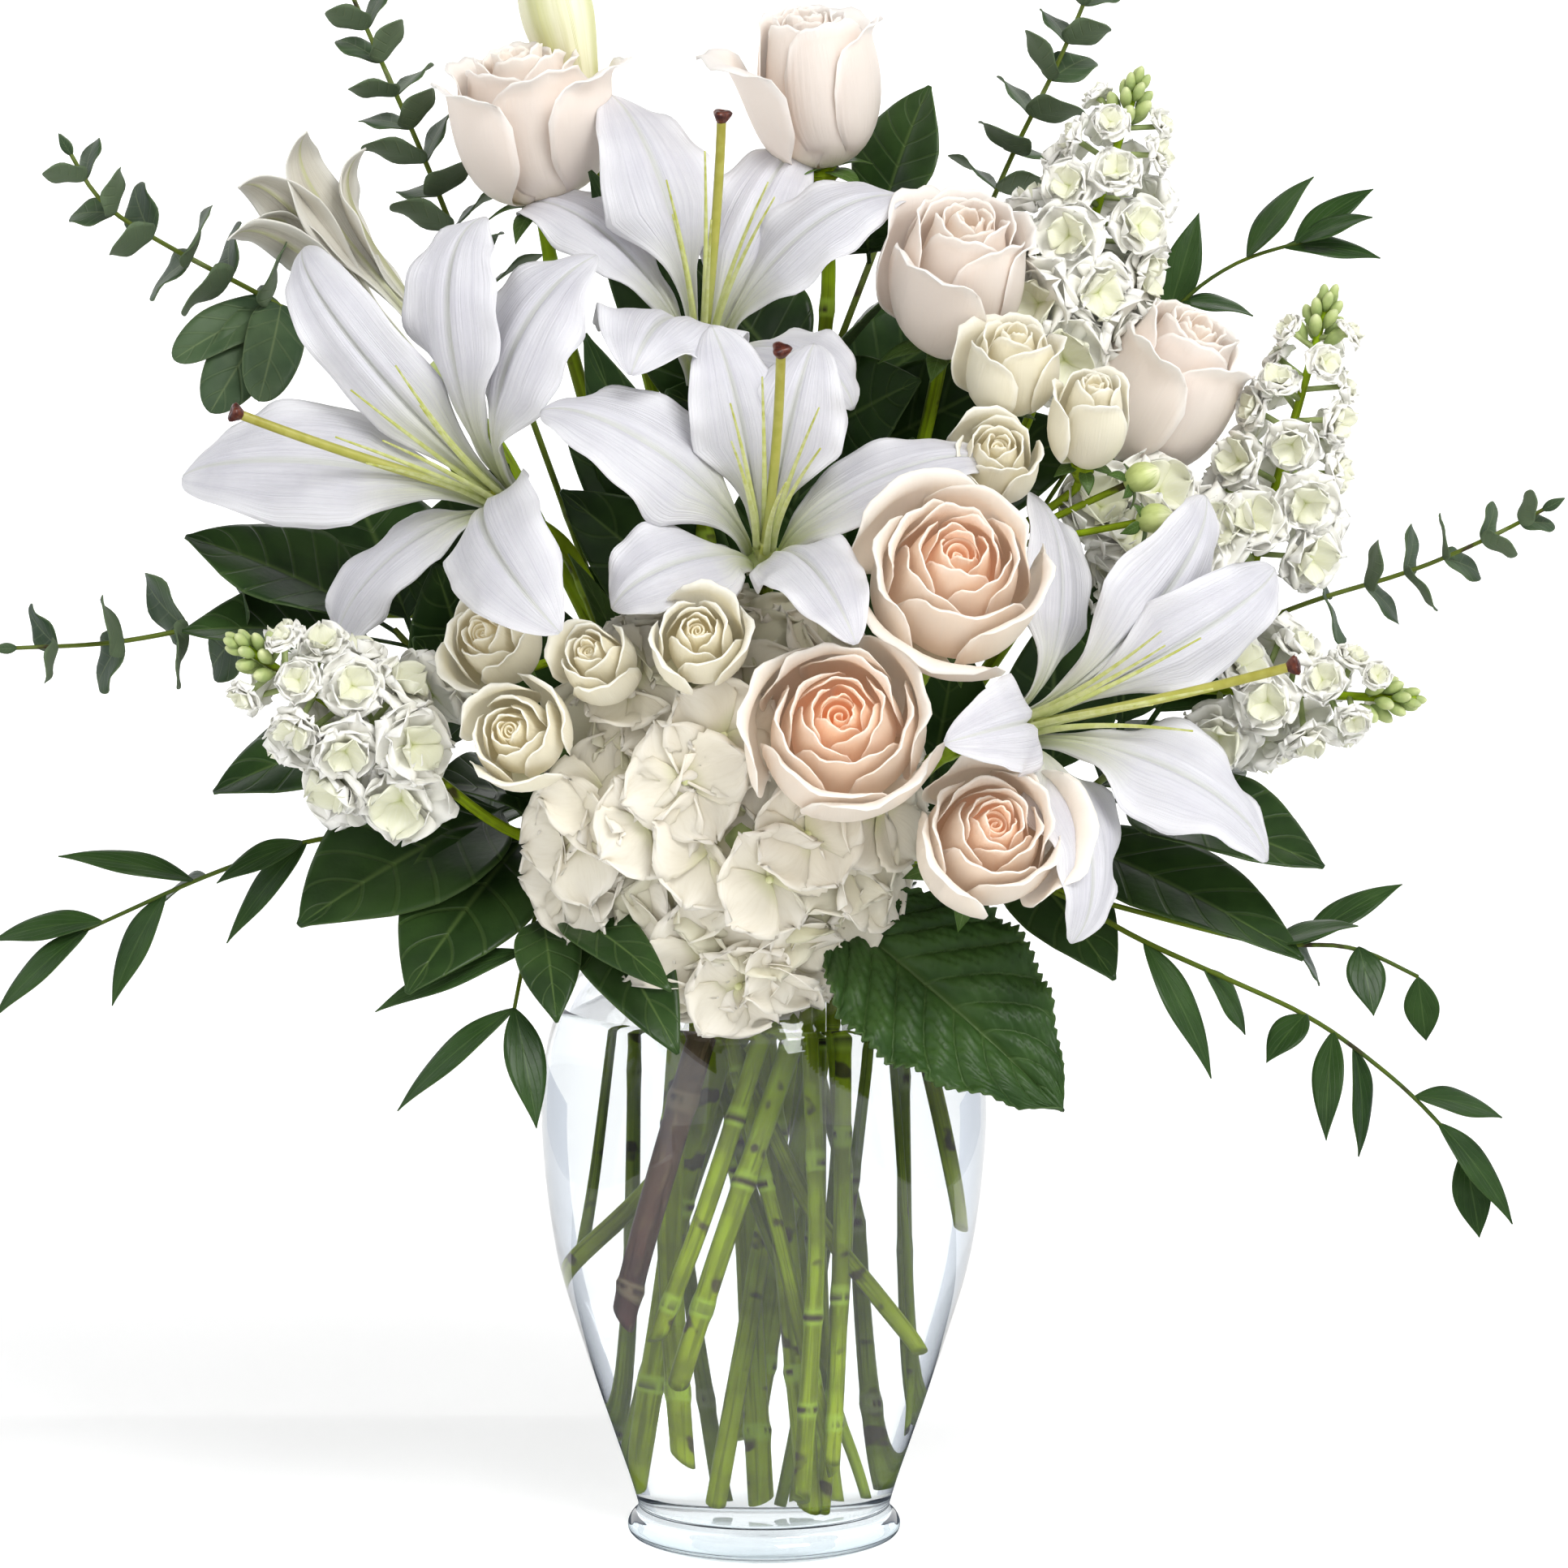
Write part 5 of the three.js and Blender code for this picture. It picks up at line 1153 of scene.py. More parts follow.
def spray_twig(stem, rose, fork, number):
    base, axis = rose_base(rose)
    twig = [fork, base - axis * 12, base - axis * CALYX["spray"], base]
    tube(stem, twig, SPRAY["twig"], "stem", sides=8)
    calyx(stem, base, axis, CALYX["spray"])
    sepals(stem, base, axis, number, reach=13, half=2.6)


def spray_buds(stem, fork):
    for number, place in enumerate(SPRAY["buds"]):
        base = vec(*place)
        axis = unit(base - fork)
        tube(stem, [fork, base], SPRAY["bud"]["twig"], "stem", sides=8)
        r, tall = SPRAY["bud"]["radius"], SPRAY["bud"]["tall"]
        egg = [(0, -3), (0.5, -2.6), (0.92, 1), (1, 4), (0.8, 7), (0.35, 9.4), (0, 10)]
        profile = flow([(a * r, h * tall / 13) for a, h in egg], 3)
        folds = lobes(3, 0.07, spiral=5)
        lathe(stem, profile, frame_at(base, axis), "small_bud", sides=24, relief=folds)
        sepals(stem, base, axis, number + 5, reach=9, half=2)


# ---------------------------------------------------------------- hydrangea


def floret_petal(where, turn, long, half, cup, seed, grid, teeth, crinkle):
    """A short broad petal with a toothed, waved edge, standing out from the middle of a floret."""
    t = np.linspace(0, 1, grid[0])[:, None]
    s = np.linspace(-1, 1, grid[1])[None, :]
    width = half * (np.sin(math.pi * np.minimum(t, 0.99) ** 1.35) ** 0.62 + 0.1 * (1 - t))
    tooth = 1 + 0.05 * np.cos(teeth * TURN * t) * np.abs(s) ** 4
    reach = long * t * (1 - 0.1 * s**2 + 0.035 * np.cos(teeth * 2 * s))
    rise = cup * long * (t**1.6) * (1 - 0.35 * t) + crinkle * half * np.sin(5 * s + 4 * t + seed) * t
    rise = rise + 0.16 * half * s**2 * t + 0.05 * half * np.cos(9 * s) * t**2
    across = width * s * tooth
    cos, sin = math.cos(turn), math.sin(turn)
    x, y = reach * cos - across * sin, reach * sin + across * cos
    return put(np.stack([x, y, rise + 0 * x], axis=-1), where)


def moved_up(where, by):
    """A local frame moved along its axis."""
    higher = where.copy()
    higher[3] = where[3] + where[2] * by
    return higher


def hydrangea_floret(shape, where, deep, k):
    """Four broad petals round a small eye. Those of a sunken floret are painted darker and greener,
    painted shade for the hollows of the head.
    """
    petal = HYDRANGEA["floret"]
    long, half = petal["long"] + 2.5 * draw(k + 7), petal["half"] + 1.5 * draw(k + 9)
    for quarter in range(4):
        turn = quarter * TURN / 4 + 0.1 * draw(k * 4 + quarter)
        seat = moved_up(where, 0.5 if quarter % 2 else -0.3)
        cup = 0.14 + 0.22 * draw(k * 5 + quarter)
        points = floret_petal(seat, turn, long, half, cup, k + quarter, (15, 15), 6, 0.1)
        # A sunken floret gets a higher tone, which the look turns into painted shade.
        tone = 0.5 - 0.07 * deep + 0.1 * draw(k * 3 + quarter)
        sheet(shape, points, petal["thick"], "ivory_floret", tone=min(max(tone, 0.0), 1.0))
    ball(shape, where[3] + where[2] * 0.8, 1.5, "floret_eye", where[2], squash=0.8)


def make_hydrangea():
    centre, size = vec(*HYDRANGEA["centre"]), vec(*HYDRANGEA["head"])
    shape = Shape()
    seats = [way for way in spread_over(HYDRANGEA["seats"]) if way[1] < HYDRANGEA["stem_side"]]
    for k, way in enumerate(seats):
        deep = 6 * draw(k + 200)
        at = centre + way * (size - 7 + deep)
        tilt = 0.4 * vec(draw(k), draw(k + 50), draw(k + 100))
        front = vec(0, -0.6, 0.1) * smooth(0.5 - 2 * way[1])
        where = frame_at(at, unit(way / size) + tilt + front, way[0] * 7 + k)
        hydrangea_floret(shape, where, deep, k)
        tube(shape, [blend(centre, at, 0.35), at], 0.9, "floret_stalk", sides=6, spacing=12)
    cluster_beads(shape, centre, size)
    shape.finish("hydrangea_head", "ivory")
    make_hydrangea_stem()


def cluster_beads(shape, centre, size):
    """The branching inside of the head, seen only as green depth between the florets."""
    inside = HYDRANGEA["inside"]
    for k, way in enumerate(spread_over(HYDRANGEA["beads"])):
        if way[1] < inside["side"]:
            at, radius = centre + way * size * inside["share"], inside["bead"] + 1.5 * draw(k)
            ball(shape, at, radius, "floret_stalk", way, squash=0.7, sides=8)


def make_hydrangea_stem():
    leaf = HYDRANGEA_LEAF
    way = stem_way("hydrangea")
    stem = Shape()
    main_stem(stem, way, "hydrangea", joints_of(60, 4), "bark", sides=14)
    tube(stem, [way[-3], *vecs(leaf["stalk"])], leaf["radius"], "leaf_stalk", tip=0.8)
    grid = leaf_grid(
        leaf["root"], leaf["tip"], leaf["half"], leaf["face"], arch=0.1, fold=0.1, rows=140, columns=65,
        teeth=30, quilt=3.4, ripple=0.07, veins=8, slant=2.2, pucker=0.5, notch=0.16,
    )
    sheet(stem, grid, 1.0, "quilted_leaf")
    for root, tip, half in NECK_LEAVES:
        grid = leaf_grid(root, tip, half, (0, -0.8, 0.6), stalked_width, arch=0.2, wave=0.12)
        sheet(stem, grid, LIP_LEAF_THICK, "salal_leaf", tone=0.3)
    stem.finish("hydrangea_stem", "purple")


# ---------------------------------------------------------------- stock


def make_stocks():
    for number, stock in enumerate(STOCKS, 1):
        foot, top = vec(*stock["base"]), vec(*stock["tip"])
        axis, long = unit(top - foot), np.linalg.norm(top - foot)
        where = frame_at(foot, axis, number)
        head = Shape()
        way = way_to_bloom(f"stock_{number}", foot, axis, 22)
        stock_florets(head, stock, long, where, number)
        if number == 2:
            low_florets(head, way)
        head.finish(f"stock_{number}_florets", "stock")
        stem = Shape()
        way = [*way, foot + axis * (long - 6)]
        tube(stem, way, STOCK["stem"], "stem", sides=12, tip=0.5, spacing=3, cut=0.9)
        stock_buds(stem, long, where)
        stem.finish(f"stock_{number}_stem", "stem")


def around_spike(where, angle):
    return math.cos(angle) * where[0] + math.sin(angle) * where[1]


def stock_florets(shape, stock, long, where, number):
    """Ruffled double florets on a spiral up the spike, smaller towards its tip."""
    count = stock["florets"]
    top = long - STOCK["buds"]["tall"] * 0.8
    for k in range(count):
        share = (k + 0.3) / count
        wide = blend(stock["wide"], stock["narrow"], share**1.3)
        size = wide / 29 * (1 - 0.22 * share)
        around = around_spike(where, k * GOLDEN + 0.2 * draw(k + number * 40))
        tilt = 0.6 * vec(draw(k), draw(k + 5), draw(k + 9))
        out = unit(around + where[2] * (0.1 + 0.55 * share) + tilt)
        at = where[3] + where[2] * (top * share + 2) + around * (wide - 5.5 * size)
        root = where[3] + where[2] * (top * share - 2)
        tube(shape, [root, at], STOCK["stalk"], "floret_stalk", sides=6)
        double_floret(shape, frame_at(at, out, k), size, k + number * 60)


def low_florets(shape, way):
    for k, place in enumerate(LOW_FLORETS):
        at = vec(*place)
        seat = nearest_on(way, at)
        stalk = [seat, blend(seat, at, 0.6) + UP * 4, at]
        tube(shape, stalk, STOCK["stalk"], "floret_stalk", sides=6)
        double_floret(shape, frame_at(at, unit(vec(0.3 * draw(k), -1, 0.5)), k), 0.95, k + 500)


FLORET_RINGS = [  # number of petals, and their length, half width, cup and crinkle
    (5, 17.5, 12.5, 0.05, 0.2), (4, 13.5, 11.5, 0.6, 0.22), (3, 9.5, 8.5, 1.3, 0.24),
]


def double_floret(shape, where, size, seed):
    """A few broad waved petals round a crumple of small ones."""
    for ring, (count, long, half, cup, crinkle) in enumerate(FLORET_RINGS):
        seat = moved_up(where, 0.7 * ring * size)
        for k in range(count):
            turn = k * TURN / count + ring * 0.75 + 0.3 * draw(seed + k)
            steep = cup + 0.25 * draw(seed * 3 + k + ring)
            reach = size * (1 + 0.14 * draw(seed * 7 + 5 * k + ring))
            petal = (long * reach, half * reach, steep, seed * 1.7 + 3 * k + ring)
            grid = floret_petal(seat, turn, *petal, (11, 13), 2, crinkle)
            sheet(shape, grid, STOCK["thick"], "stock", tone=1 - ring / 3)


def stock_buds(shape, long, where):
    """Closed buds, crowded at the top of a spike."""
    for k in range(STOCK["buds"]["count"]):
        share = k / STOCK["buds"]["count"]
        around = around_spike(where, k * GOLDEN)
        up = long - STOCK["buds"]["tall"] * (1 - 0.75 * share)
        out = STOCK["buds"]["wide"] * (0.75 - 0.62 * share)
        at = where[3] + where[2] * up + around * out
        axis = unit(around * (0.9 - 0.8 * share) + where[2])
        size = 1.0 - 0.35 * share
        egg = [(0, -4), (0.9, -3.6), (2.1, -1), (2.5, 1.5), (1.9, 4.2), (0.8, 5.6), (0, 6)]
        profile = flow([(r * size, h * size) for r, h in egg], 2)
        lathe(shape, profile, frame_at(at, axis), "green_bud", sides=12, tone=share)


# ---------------------------------------------------------------- leaves


LEAF_THICK = 0.6
LIP_LEAF_THICK = 0.8  # of the leaves over the vase's lip
SALAL_THICK = 0.9
LAST_PAIR = 0.985  # where the youngest leaves of a eucalyptus twig sit, as a share of its length


def broad_width(t):
    return np.sin(math.pi * np.minimum(t, 0.995) ** 0.78) ** 0.85 + 0.03 * (1 - t)


def stalked_width(t):
    blade = broad_width(np.clip((t - STALK_SHARE) / (1 - STALK_SHARE), 0, 1))
    return np.maximum(blade * smooth((t - STALK_SHARE + 0.02) * 30), 0.045)


def lance_width(t):
    return np.sin(math.pi * np.minimum(t, 0.995) ** 0.85) ** 1.05 + 0.05 * (1 - t)


def round_width(t):
    return np.sqrt(np.maximum(1 - np.abs(2 * t ** 0.95 - 1) ** 2.3, 0.0)) + 0.05 * (1 - t) + 0.01


def leaf_grid(
    root, tip, half, face, outline=broad_width, arch=0.12, fold=0.18, wave=0.0, twist=0.0,
    rows=24, columns=9, teeth=0, quilt=0.0, ripple=0.0, veins=9, slant=1.3, pucker=0.0, notch=0.07,
):
    """A leaf folded along its rib and arched from root to tip, its upper face towards `face`. It
    may have teeth, swell between its side veins (quilt) and in small cells between those (pucker)."""
    root, tip = np.asarray(root, float), np.asarray(tip, float)
    run = tip - root
    side = unit(np.cross(run, np.asarray(face, float)))
    top = unit(np.cross(side, run))
    crest = blend(root, tip, 0.5) + top * arch * np.linalg.norm(run)
    t = np.linspace(0, 1, rows)
    if outline is round_width:  # closer rows at the ends, where a round leaf turns most
        t = 0.5 - 0.5 * np.cos(math.pi * t)
    rib = bezier([root, crest, tip], t)[:, None]
    t, s = t[:, None], np.linspace(-1, 1, columns)[None, :]
    tooth = 1 + notch * (np.abs((t * teeth) % 1 - 0.5) - 0.25) * np.abs(s) ** 8 * (teeth > 0)
    width = half * outline(t) * s * tooth
    lift = fold * np.abs(width) + wave * np.abs(width) * s * s * np.sin(8 * t + half)
    lift = lift + ripple * half * np.abs(s) ** 3 * np.sin(TURN * (t * 5 + 0.3 * s))
    lane = t * veins - slant * np.abs(s)
    swell = np.abs(np.sin(math.pi * lane)) ** 0.6
    across = 7 * np.abs(s) + 0.35 * np.sin(TURN * lane) + 0.5 * np.floor(lane)
    cells = np.abs(np.sin(math.pi * across)) ** 0.6
    swell = swell * (1 - pucker + pucker * cells) * np.minimum(np.abs(s) * 5, 1)
    lift = lift + quilt * (swell - 0.7 * np.exp(-((s / 0.05) ** 2))) * outline(t)
    spin = twist * t
    across = width * np.cos(spin) - lift * np.sin(spin)
    raised = width * np.sin(spin) + lift * np.cos(spin)
    return rib + side * across[..., None] + top * raised[..., None]


def nearest_on(way, at):
    """The point of a row of points joined by straight lines that lies nearest to `at`."""
    best = way[0]
    for a, b in zip(way, way[1:]):
        run = b - a
        here = a + run * np.clip((at - a) @ run / (run @ run), 0, 1)
        if np.linalg.norm(here - at) < np.linalg.norm(best - at):
            best = here
    return best


def along_way(way, share):
    """A place on a way of straight pieces, and the direction there."""
    steps = [np.linalg.norm(b - a) for a, b in zip(way, way[1:])]
    left = share * sum(steps)
    for step, a, b in zip(steps, way, way[1:]):
        if left <= step:
            return a + (b - a) * left / step, unit(b - a)
        left -= step
    return way[-1], unit(way[-1] - way[-2])


def leaf_pairs(shape, way, leaf, seed):
    """Opposite pairs, each turned a quarter from the last and smaller towards the tip."""
    way = eased(way, 30)
    length, width, start, pairs = leaf
    for k in range(pairs):
        share = start + (LAST_PAIR - start) * (k + 0.4) / pairs
        seat, axis = along_way(way, share)
        size = 1 - 0.5 * (k / pairs) ** 1.4
        for end, turn in enumerate((0, math.pi)):
            out = turned_about(level_side(axis), axis, turn + math.pi * (0.25 + 0.5 * (k % 2)))
            lifted = 0.25 + 0.5 * (k / pairs) + 0.25 * draw(seed + 5 * k + end)
            reach = unit(out + axis * lifted + 0.15 * vec(draw(k + seed), draw(k + 9), draw(k + 4)))
            long = length * size * (1 + 0.1 * draw(seed + k * 3 + end))
            tip = seat + reach * long
            half = width * size * (1 + 0.12 * draw(seed + k + 7 * end))
            grid = leaf_grid(
                seat + out * 0.6, tip, half, axis, round_width,
                arch=0.1, fold=0.08, wave=0.12, rows=16,
            )
            tone = 0.5 + 0.5 * draw(seed * 3 + 2 * k + end)
            sheet(shape, grid, LEAF_THICK, "gum_leaf", tone)
    seat, axis = along_way(way, LAST_PAIR)
    for end in (0, 1):
        out = turned_about(level_side(axis), axis, end * math.pi)
        tip = seat + axis * 9 + out * 2.5
        grid = leaf_grid(seat, tip, 1.8, out, lance_width, rows=8, columns=5)
        sheet(shape, grid, LEAF_THICK, "gum_leaf", tone=0.9)


def make_eucalyptus(name, twig, seed):
    route = vecs(twig["route"])
    shape = Shape()
    twig_stem(shape, route, name, "twig", 0.4, joints_of(seed, 6))
    leaf_pairs(shape, route, twig["leaf"], seed)
    fork = twig.get("fork")
    if fork:
        side = [route[fork["at"] - 1], *vecs(fork["route"])]
        tube(shape, side, FORK["eucalyptus"], "twig", sides=8, tip=0.5)
        leaf_pairs(shape, side, fork["leaf"], seed + 50)
    for root, tip, half, face in twig.get("extra", []):
        grid = leaf_grid(root, tip, half, face, round_width, wave=0.12)
        sheet(shape, grid, LEAF_THICK, "gum_leaf", tone=0.3)
    shape.finish(name, "gum")


def make_ruscus(name, twig, seed):
    route = vecs(twig["route"])
    fork = twig.get("fork")
    side = [route[fork["at"]], *vecs(fork["route"])] if fork else route
    shape = Shape()
    twig_stem(shape, route, name, "green_twig", 0.45)
    if fork:
        tube(shape, side, FORK["ruscus"], "green_twig", sides=8, tip=0.7)
    for k, (root, tip) in enumerate(twig["leaves"]):
        given = vec(*root)
        seats = (nearest_on(route, given), nearest_on(side, given))
        seat = min(seats, key=lambda place: np.linalg.norm(place - given))
        face = vec(0.4 * draw(k + 3), -0.7, 1)
        half = RUSCUS_HALF * (1 + 0.12 * draw(seed + k))
        twist = 0.35 * draw(k + seed)
        grid = leaf_grid(
            seat, tip, half, face, lance_width, arch=0.1, fold=0.14, wave=0.08, twist=twist,
        )
        sheet(shape, grid, LEAF_THICK, "ruscus_leaf", tone=0.5 + 0.5 * draw(seed + 2 * k))
    shape.finish(name, "ruscus")


def make_salal(name, twig, seed):
    bends = vecs(twig["route"])
    shape = Shape()
    twig_stem(shape, bends, name, "twig", 0.6, joints_of(seed, 6))
    below = [stem_knots[name][-1], *bends]
    down = [unit(a - b) for a, b in zip(below, bends)]
    used = [0] * len(bends)
    for k, (on, tip, half, front) in enumerate(twig["leaves"]):
        root = bends[on] + down[on] * LEAF_STEP * (used[on] + 0.4)
        used[on] += 1
        face = vec(0.3 * draw(k), -1.2, 0.4) if front else vec(0.3 * draw(k), -0.55, 1)
        grid = leaf_grid(
            root, tip, half, face, stalked_width,
            arch=0.09, wave=0.1, rows=48, columns=17, quilt=0.35, veins=8,
        )
        sheet(shape, grid, SALAL_THICK, "salal_leaf", tone=0.5 + 0.5 * draw(seed + k))
    shape.finish(name, "salal")


# ---------------------------------------------------------------- vase and water


def make_vase():
    parts = ("foot", "outside", "lip", "inside", "bottom")
    profile = np.vstack([flow(VASE[part], 5) for part in parts])
    steps = np.linalg.norm(np.diff(profile, axis=0), axis=1)
    profile = np.maximum(profile[np.concatenate([[True], steps > 0.05])], 0)
    profile[0, 0] = profile[-1, 0] = 0.0
    shape = Shape()
    lathe(shape, profile, frame_at(vec(0, 0, 0), UP), "glass", sides=VASE["sides"])
    shape.finish("vase", "glass").visible_shadow = False


def make_water():
    """The water fills the vase: it reaches just into the glass, with no film of air between."""
    reach = 0.2
    inside = flow(VASE["inside"], 5)[::-1]
    below = inside[inside[:, 1] < WATER_LEVEL]
    wall = [(r + reach, h) for r, h in below]
    edge = np.interp(WATER_LEVEL, inside[:, 1], inside[:, 0]) + reach
    bottom = [(r, h - reach) for r, h in flow(VASE["bottom"], 5)[::-1]]
    top = [(edge, WATER_LEVEL + 0.8), (edge - 1.5, WATER_LEVEL + 0.15), (edge - 4, WATER_LEVEL)]
    profile = [(0, bottom[0][1]), *bottom[1:], *wall, *top, (20, WATER_LEVEL), (0, WATER_LEVEL)]
    shape = Shape()
    lathe(shape, profile, frame_at(vec(0, 0, 0), UP), "water", sides=VASE["sides"])
    shape.finish("water", "water").visible_shadow = False


# ---------------------------------------------------------------- the looks of the pieces

LILY_GREEN = (0.34, 0.45, 0.07)


def make_petal_look(name, white, edge, shade, vein):
    look = Look(name, Roughness=0.5, Subsurface_Weight=0.25, Subsurface_Scale=0.004)
    throat = look.ramp(
        look.along, (0.0, LILY_GREEN), (0.1, (0.55, 0.62, 0.26)), (0.26, (0.66, 0.67, 0.55)),
        (0.42, white), (0.85, white), (1.0, edge),
    )
    veins = look.streaks(56, 1.6)
    fine = look.streaks(140, 3.0)
    mottle = look.noise(70, 3)
    off_rib = look.from_rib()
    colour = look.tint(throat, shade, mottle, 0.35, 0.75, 0.35)
    colour = look.tint(colour, shade, veins, 0.42, 0.72, 0.4)
    # Paler at the edges, and at the tip by the ramp above: a painted highlight where the light catches
    # the rim of the petal.
    colour = look.tint(colour, edge, off_rib, 0.55, 1.0, 0.75)
    look.colour(look.mix(look.span(off_rib, 0.02, 0.1, 0.6, 0.0), colour, vein))
    look.rough(look.span(mottle, 0.2, 0.8, 0.42, 0.6))
    relief = look.math("ADD", veins, look.math("MULTIPLY", fine, 0.5))
    look.bump(look.math("ADD", relief, look.math("MULTIPLY", mottle, 0.5)), 0.5, 0.0011)


def make_mottled_look(name, scale, dark, light, grain, **sockets):
    look = Look(name, **sockets)
    look.mottled(scale, dark, light)
    look.grain(*grain)


def make_flecked_look(name, middle, colours, fleck, scale, most, grain, **sockets):
    """Three colours from root to tip, with up to `most` of a fourth in flecks."""
    look = Look(name, **sockets)
    run = look.root_to_tip(middle, *colours)
    look.colour(look.tint(run, fleck, look.noise(scale), 0.35, 0.7, most))
    look.grain(*grain)


def make_lily_looks():
    make_petal_look(
        "lily", white=(0.66, 0.655, 0.70), edge=(0.84, 0.835, 0.87), shade=(0.50, 0.49, 0.56),
        vein=(0.60, 0.62, 0.55),
    )
    make_petal_look(
        "young_lily", white=(0.66, 0.63, 0.54), edge=(0.80, 0.78, 0.71), shade=(0.48, 0.43, 0.34),
        vein=(0.46, 0.48, 0.16),
    )
    make_mottled_look(
        "lily_throat", 160, (0.38, 0.48, 0.12), (0.55, 0.62, 0.26), grain=(500, 0.2, 0.0004),
        Roughness=0.5, Subsurface_Weight=0.1, Subsurface_Scale=0.003,
    )
    make_flecked_look(
        "filament", 0.5, [(0.60, 0.66, 0.30), (0.58, 0.62, 0.20), (0.40, 0.42, 0.05)],
        fleck=(0.80, 0.82, 0.55), scale=300, most=0.4, grain=(700, 0.2, 0.0003),
        Roughness=0.42, Subsurface_Weight=0.2, Subsurface_Scale=0.002,
    )
    make_flecked_look(
        "style", 0.5, [(0.55, 0.60, 0.22), (0.42, 0.42, 0.07), (0.30, 0.27, 0.03)],
        fleck=(0.55, 0.52, 0.14), scale=200, most=0.4, grain=(600, 0.2, 0.0003),
        Roughness=0.42, Subsurface_Weight=0.15, Subsurface_Scale=0.002,
    )
    make_mottled_look(
        "stigma", 500, (0.045, 0.008, 0.006), (0.14, 0.03, 0.012), grain=(900, 0.5, 0.0005),
        Roughness=0.38,
    )


def make_bud_looks():
    look = Look("bud", Roughness=0.45, Subsurface_Weight=0.15, Subsurface_Scale=0.004)
    around = look.math("COSINE", look.math("MULTIPLY", look.across, 3 * TURN))
    groove = look.span(around, -1.0, 0.4, 1.0, 0.0)
    stripe = look.mix(groove, (0.86, 0.85, 0.62), (0.42, 0.44, 0.08))
    ends = look.root_to_tip(0.25, (0.36, 0.40, 0.08), (0.80, 0.80, 0.52), (0.9, 0.9, 0.72))
    veins = look.streaks(60, 2)
    look.colour(look.tint(look.mix(0.5, stripe, ends), (0.62, 0.62, 0.24), veins, 0.4, 0.7, 0.3))
    look.bump(veins, 0.3, 0.0006)

    look = Look("small_bud", Roughness=0.5, Subsurface_Weight=0.1, Subsurface_Scale=0.003)
    colour = look.root_to_tip(0.6, (0.30, 0.40, 0.10), (0.55, 0.62, 0.24), (0.84, 0.83, 0.6))
    veins = look.streaks(20, 3)
    look.colour(look.tint(colour, (0.34, 0.42, 0.12), veins, 0.4, 0.7, 0.5))
    look.bump(veins, 0.3, 0.0005)

    make_flecked_look(
        "green_bud", 0.6, [(0.24, 0.33, 0.09), (0.40, 0.48, 0.17), (0.66, 0.70, 0.38)],
        fleck=(0.22, 0.32, 0.1), scale=300, most=0.5, grain=(800, 0.4, 0.0004), Roughness=0.55,
    )


def darker(colour, share):
    return tuple(share * c for c in colour)


def make_rose_look(name, outer, edge, heart, green):
    """The tone of a petal goes from the outside, 0, to the heart, 1."""
    look = Look(name, Roughness=0.55, Subsurface_Weight=0.5, Subsurface_Scale=0.004)
    foot = look.ramp(look.along, (0.0, green), (0.3, outer), (0.8, outer), (1.0, edge))
    within = look.math("MULTIPLY", look.tone, look.span(look.along, 0.15, 0.95, 1.0, 0.55))
    mottle = look.noise(70, 3)
    veins = look.streaks(36, 3.0)
    colour = look.mix(within, foot, heart)
    colour = look.tint(colour, darker(outer, 0.93), mottle, 0.4, 0.75, 0.22)
    colour = look.tint(colour, darker(edge, 0.88), veins, 0.5, 0.8, 0.12)
    colour = look.tint(colour, edge, look.from_rib(), 0.86, 1.0, 0.3)
    look.colour(colour)
    # Painted glow: the heart gives off a little light of its own colour, which brightens its shaded
    # folds.
    look.painted_glow(look.mix(look.span(within, 0.05, 0.7, 0.2, 1.0), (0.0, 0.0, 0.0), colour), 0.12)
    look.rough(look.span(mottle, 0.2, 0.8, 0.46, 0.62))
    look.bump(look.math("ADD", veins, look.math("MULTIPLY", mottle, 0.5)), 0.3, 0.0005)


ROSE_LOOKS = [  # name, and the colours of the outside, the edges, the heart and the foot
    ("cream", (0.90, 0.78, 0.69), (0.96, 0.90, 0.84), (0.92, 0.69, 0.47), (0.74, 0.70, 0.44)),
    ("peach", (0.93, 0.80, 0.66), (0.97, 0.90, 0.80), (0.96, 0.44, 0.17), (0.78, 0.70, 0.42)),
    ("ivory", (0.85, 0.79, 0.60), (0.94, 0.91, 0.78), (0.84, 0.70, 0.37), (0.68, 0.72, 0.38)),
]


def make_cluster_looks():
    look = Look("ivory_floret", Roughness=0.65, Subsurface_Weight=0.35, Subsurface_Scale=0.004)
    colour = look.root_to_tip(0.3, (0.62, 0.62, 0.32), (0.83, 0.77, 0.61), (0.91, 0.86, 0.75))
    veins = look.streaks(22, 3.5)
    # A higher tone, on a sunken floret, is painted darker and greener: painted shade in the hollows of
    # the head.
    colour = look.tint(colour, (0.52, 0.52, 0.25), look.tone, 0.5, 1.0, 0.6)
    look.colour(look.tint(colour, (0.72, 0.65, 0.49), veins, 0.45, 0.75, 0.25))
    look.bump(veins, 0.3, 0.0004)

    look = Look("stock", Roughness=0.7, Subsurface_Weight=0.2, Subsurface_Scale=0.003)
    colour = look.root_to_tip(0.22, (0.54, 0.60, 0.22), (0.86, 0.85, 0.74), (0.95, 0.94, 0.89))
    veins = look.streaks(20, 4)
    colour = look.mix(look.span(look.tone, 0.2, 0.6, 0.5, 0.0), colour, (0.58, 0.61, 0.24))
    look.colour(look.tint(colour, (0.88, 0.88, 0.84), veins, 0.45, 0.75, 0.2))
    look.bump(veins, 0.2, 0.0003)

    make_mottled_look(
        "floret_eye", 600, (0.62, 0.66, 0.30), (0.78, 0.78, 0.5), (900, 0.3, 0.0003), Roughness=0.5,
    )
    make_mottled_look(
        "floret_stalk", 120, (0.20, 0.27, 0.08), (0.42, 0.50, 0.20), (400, 0.4, 0.0006), Roughness=0.6,
    )


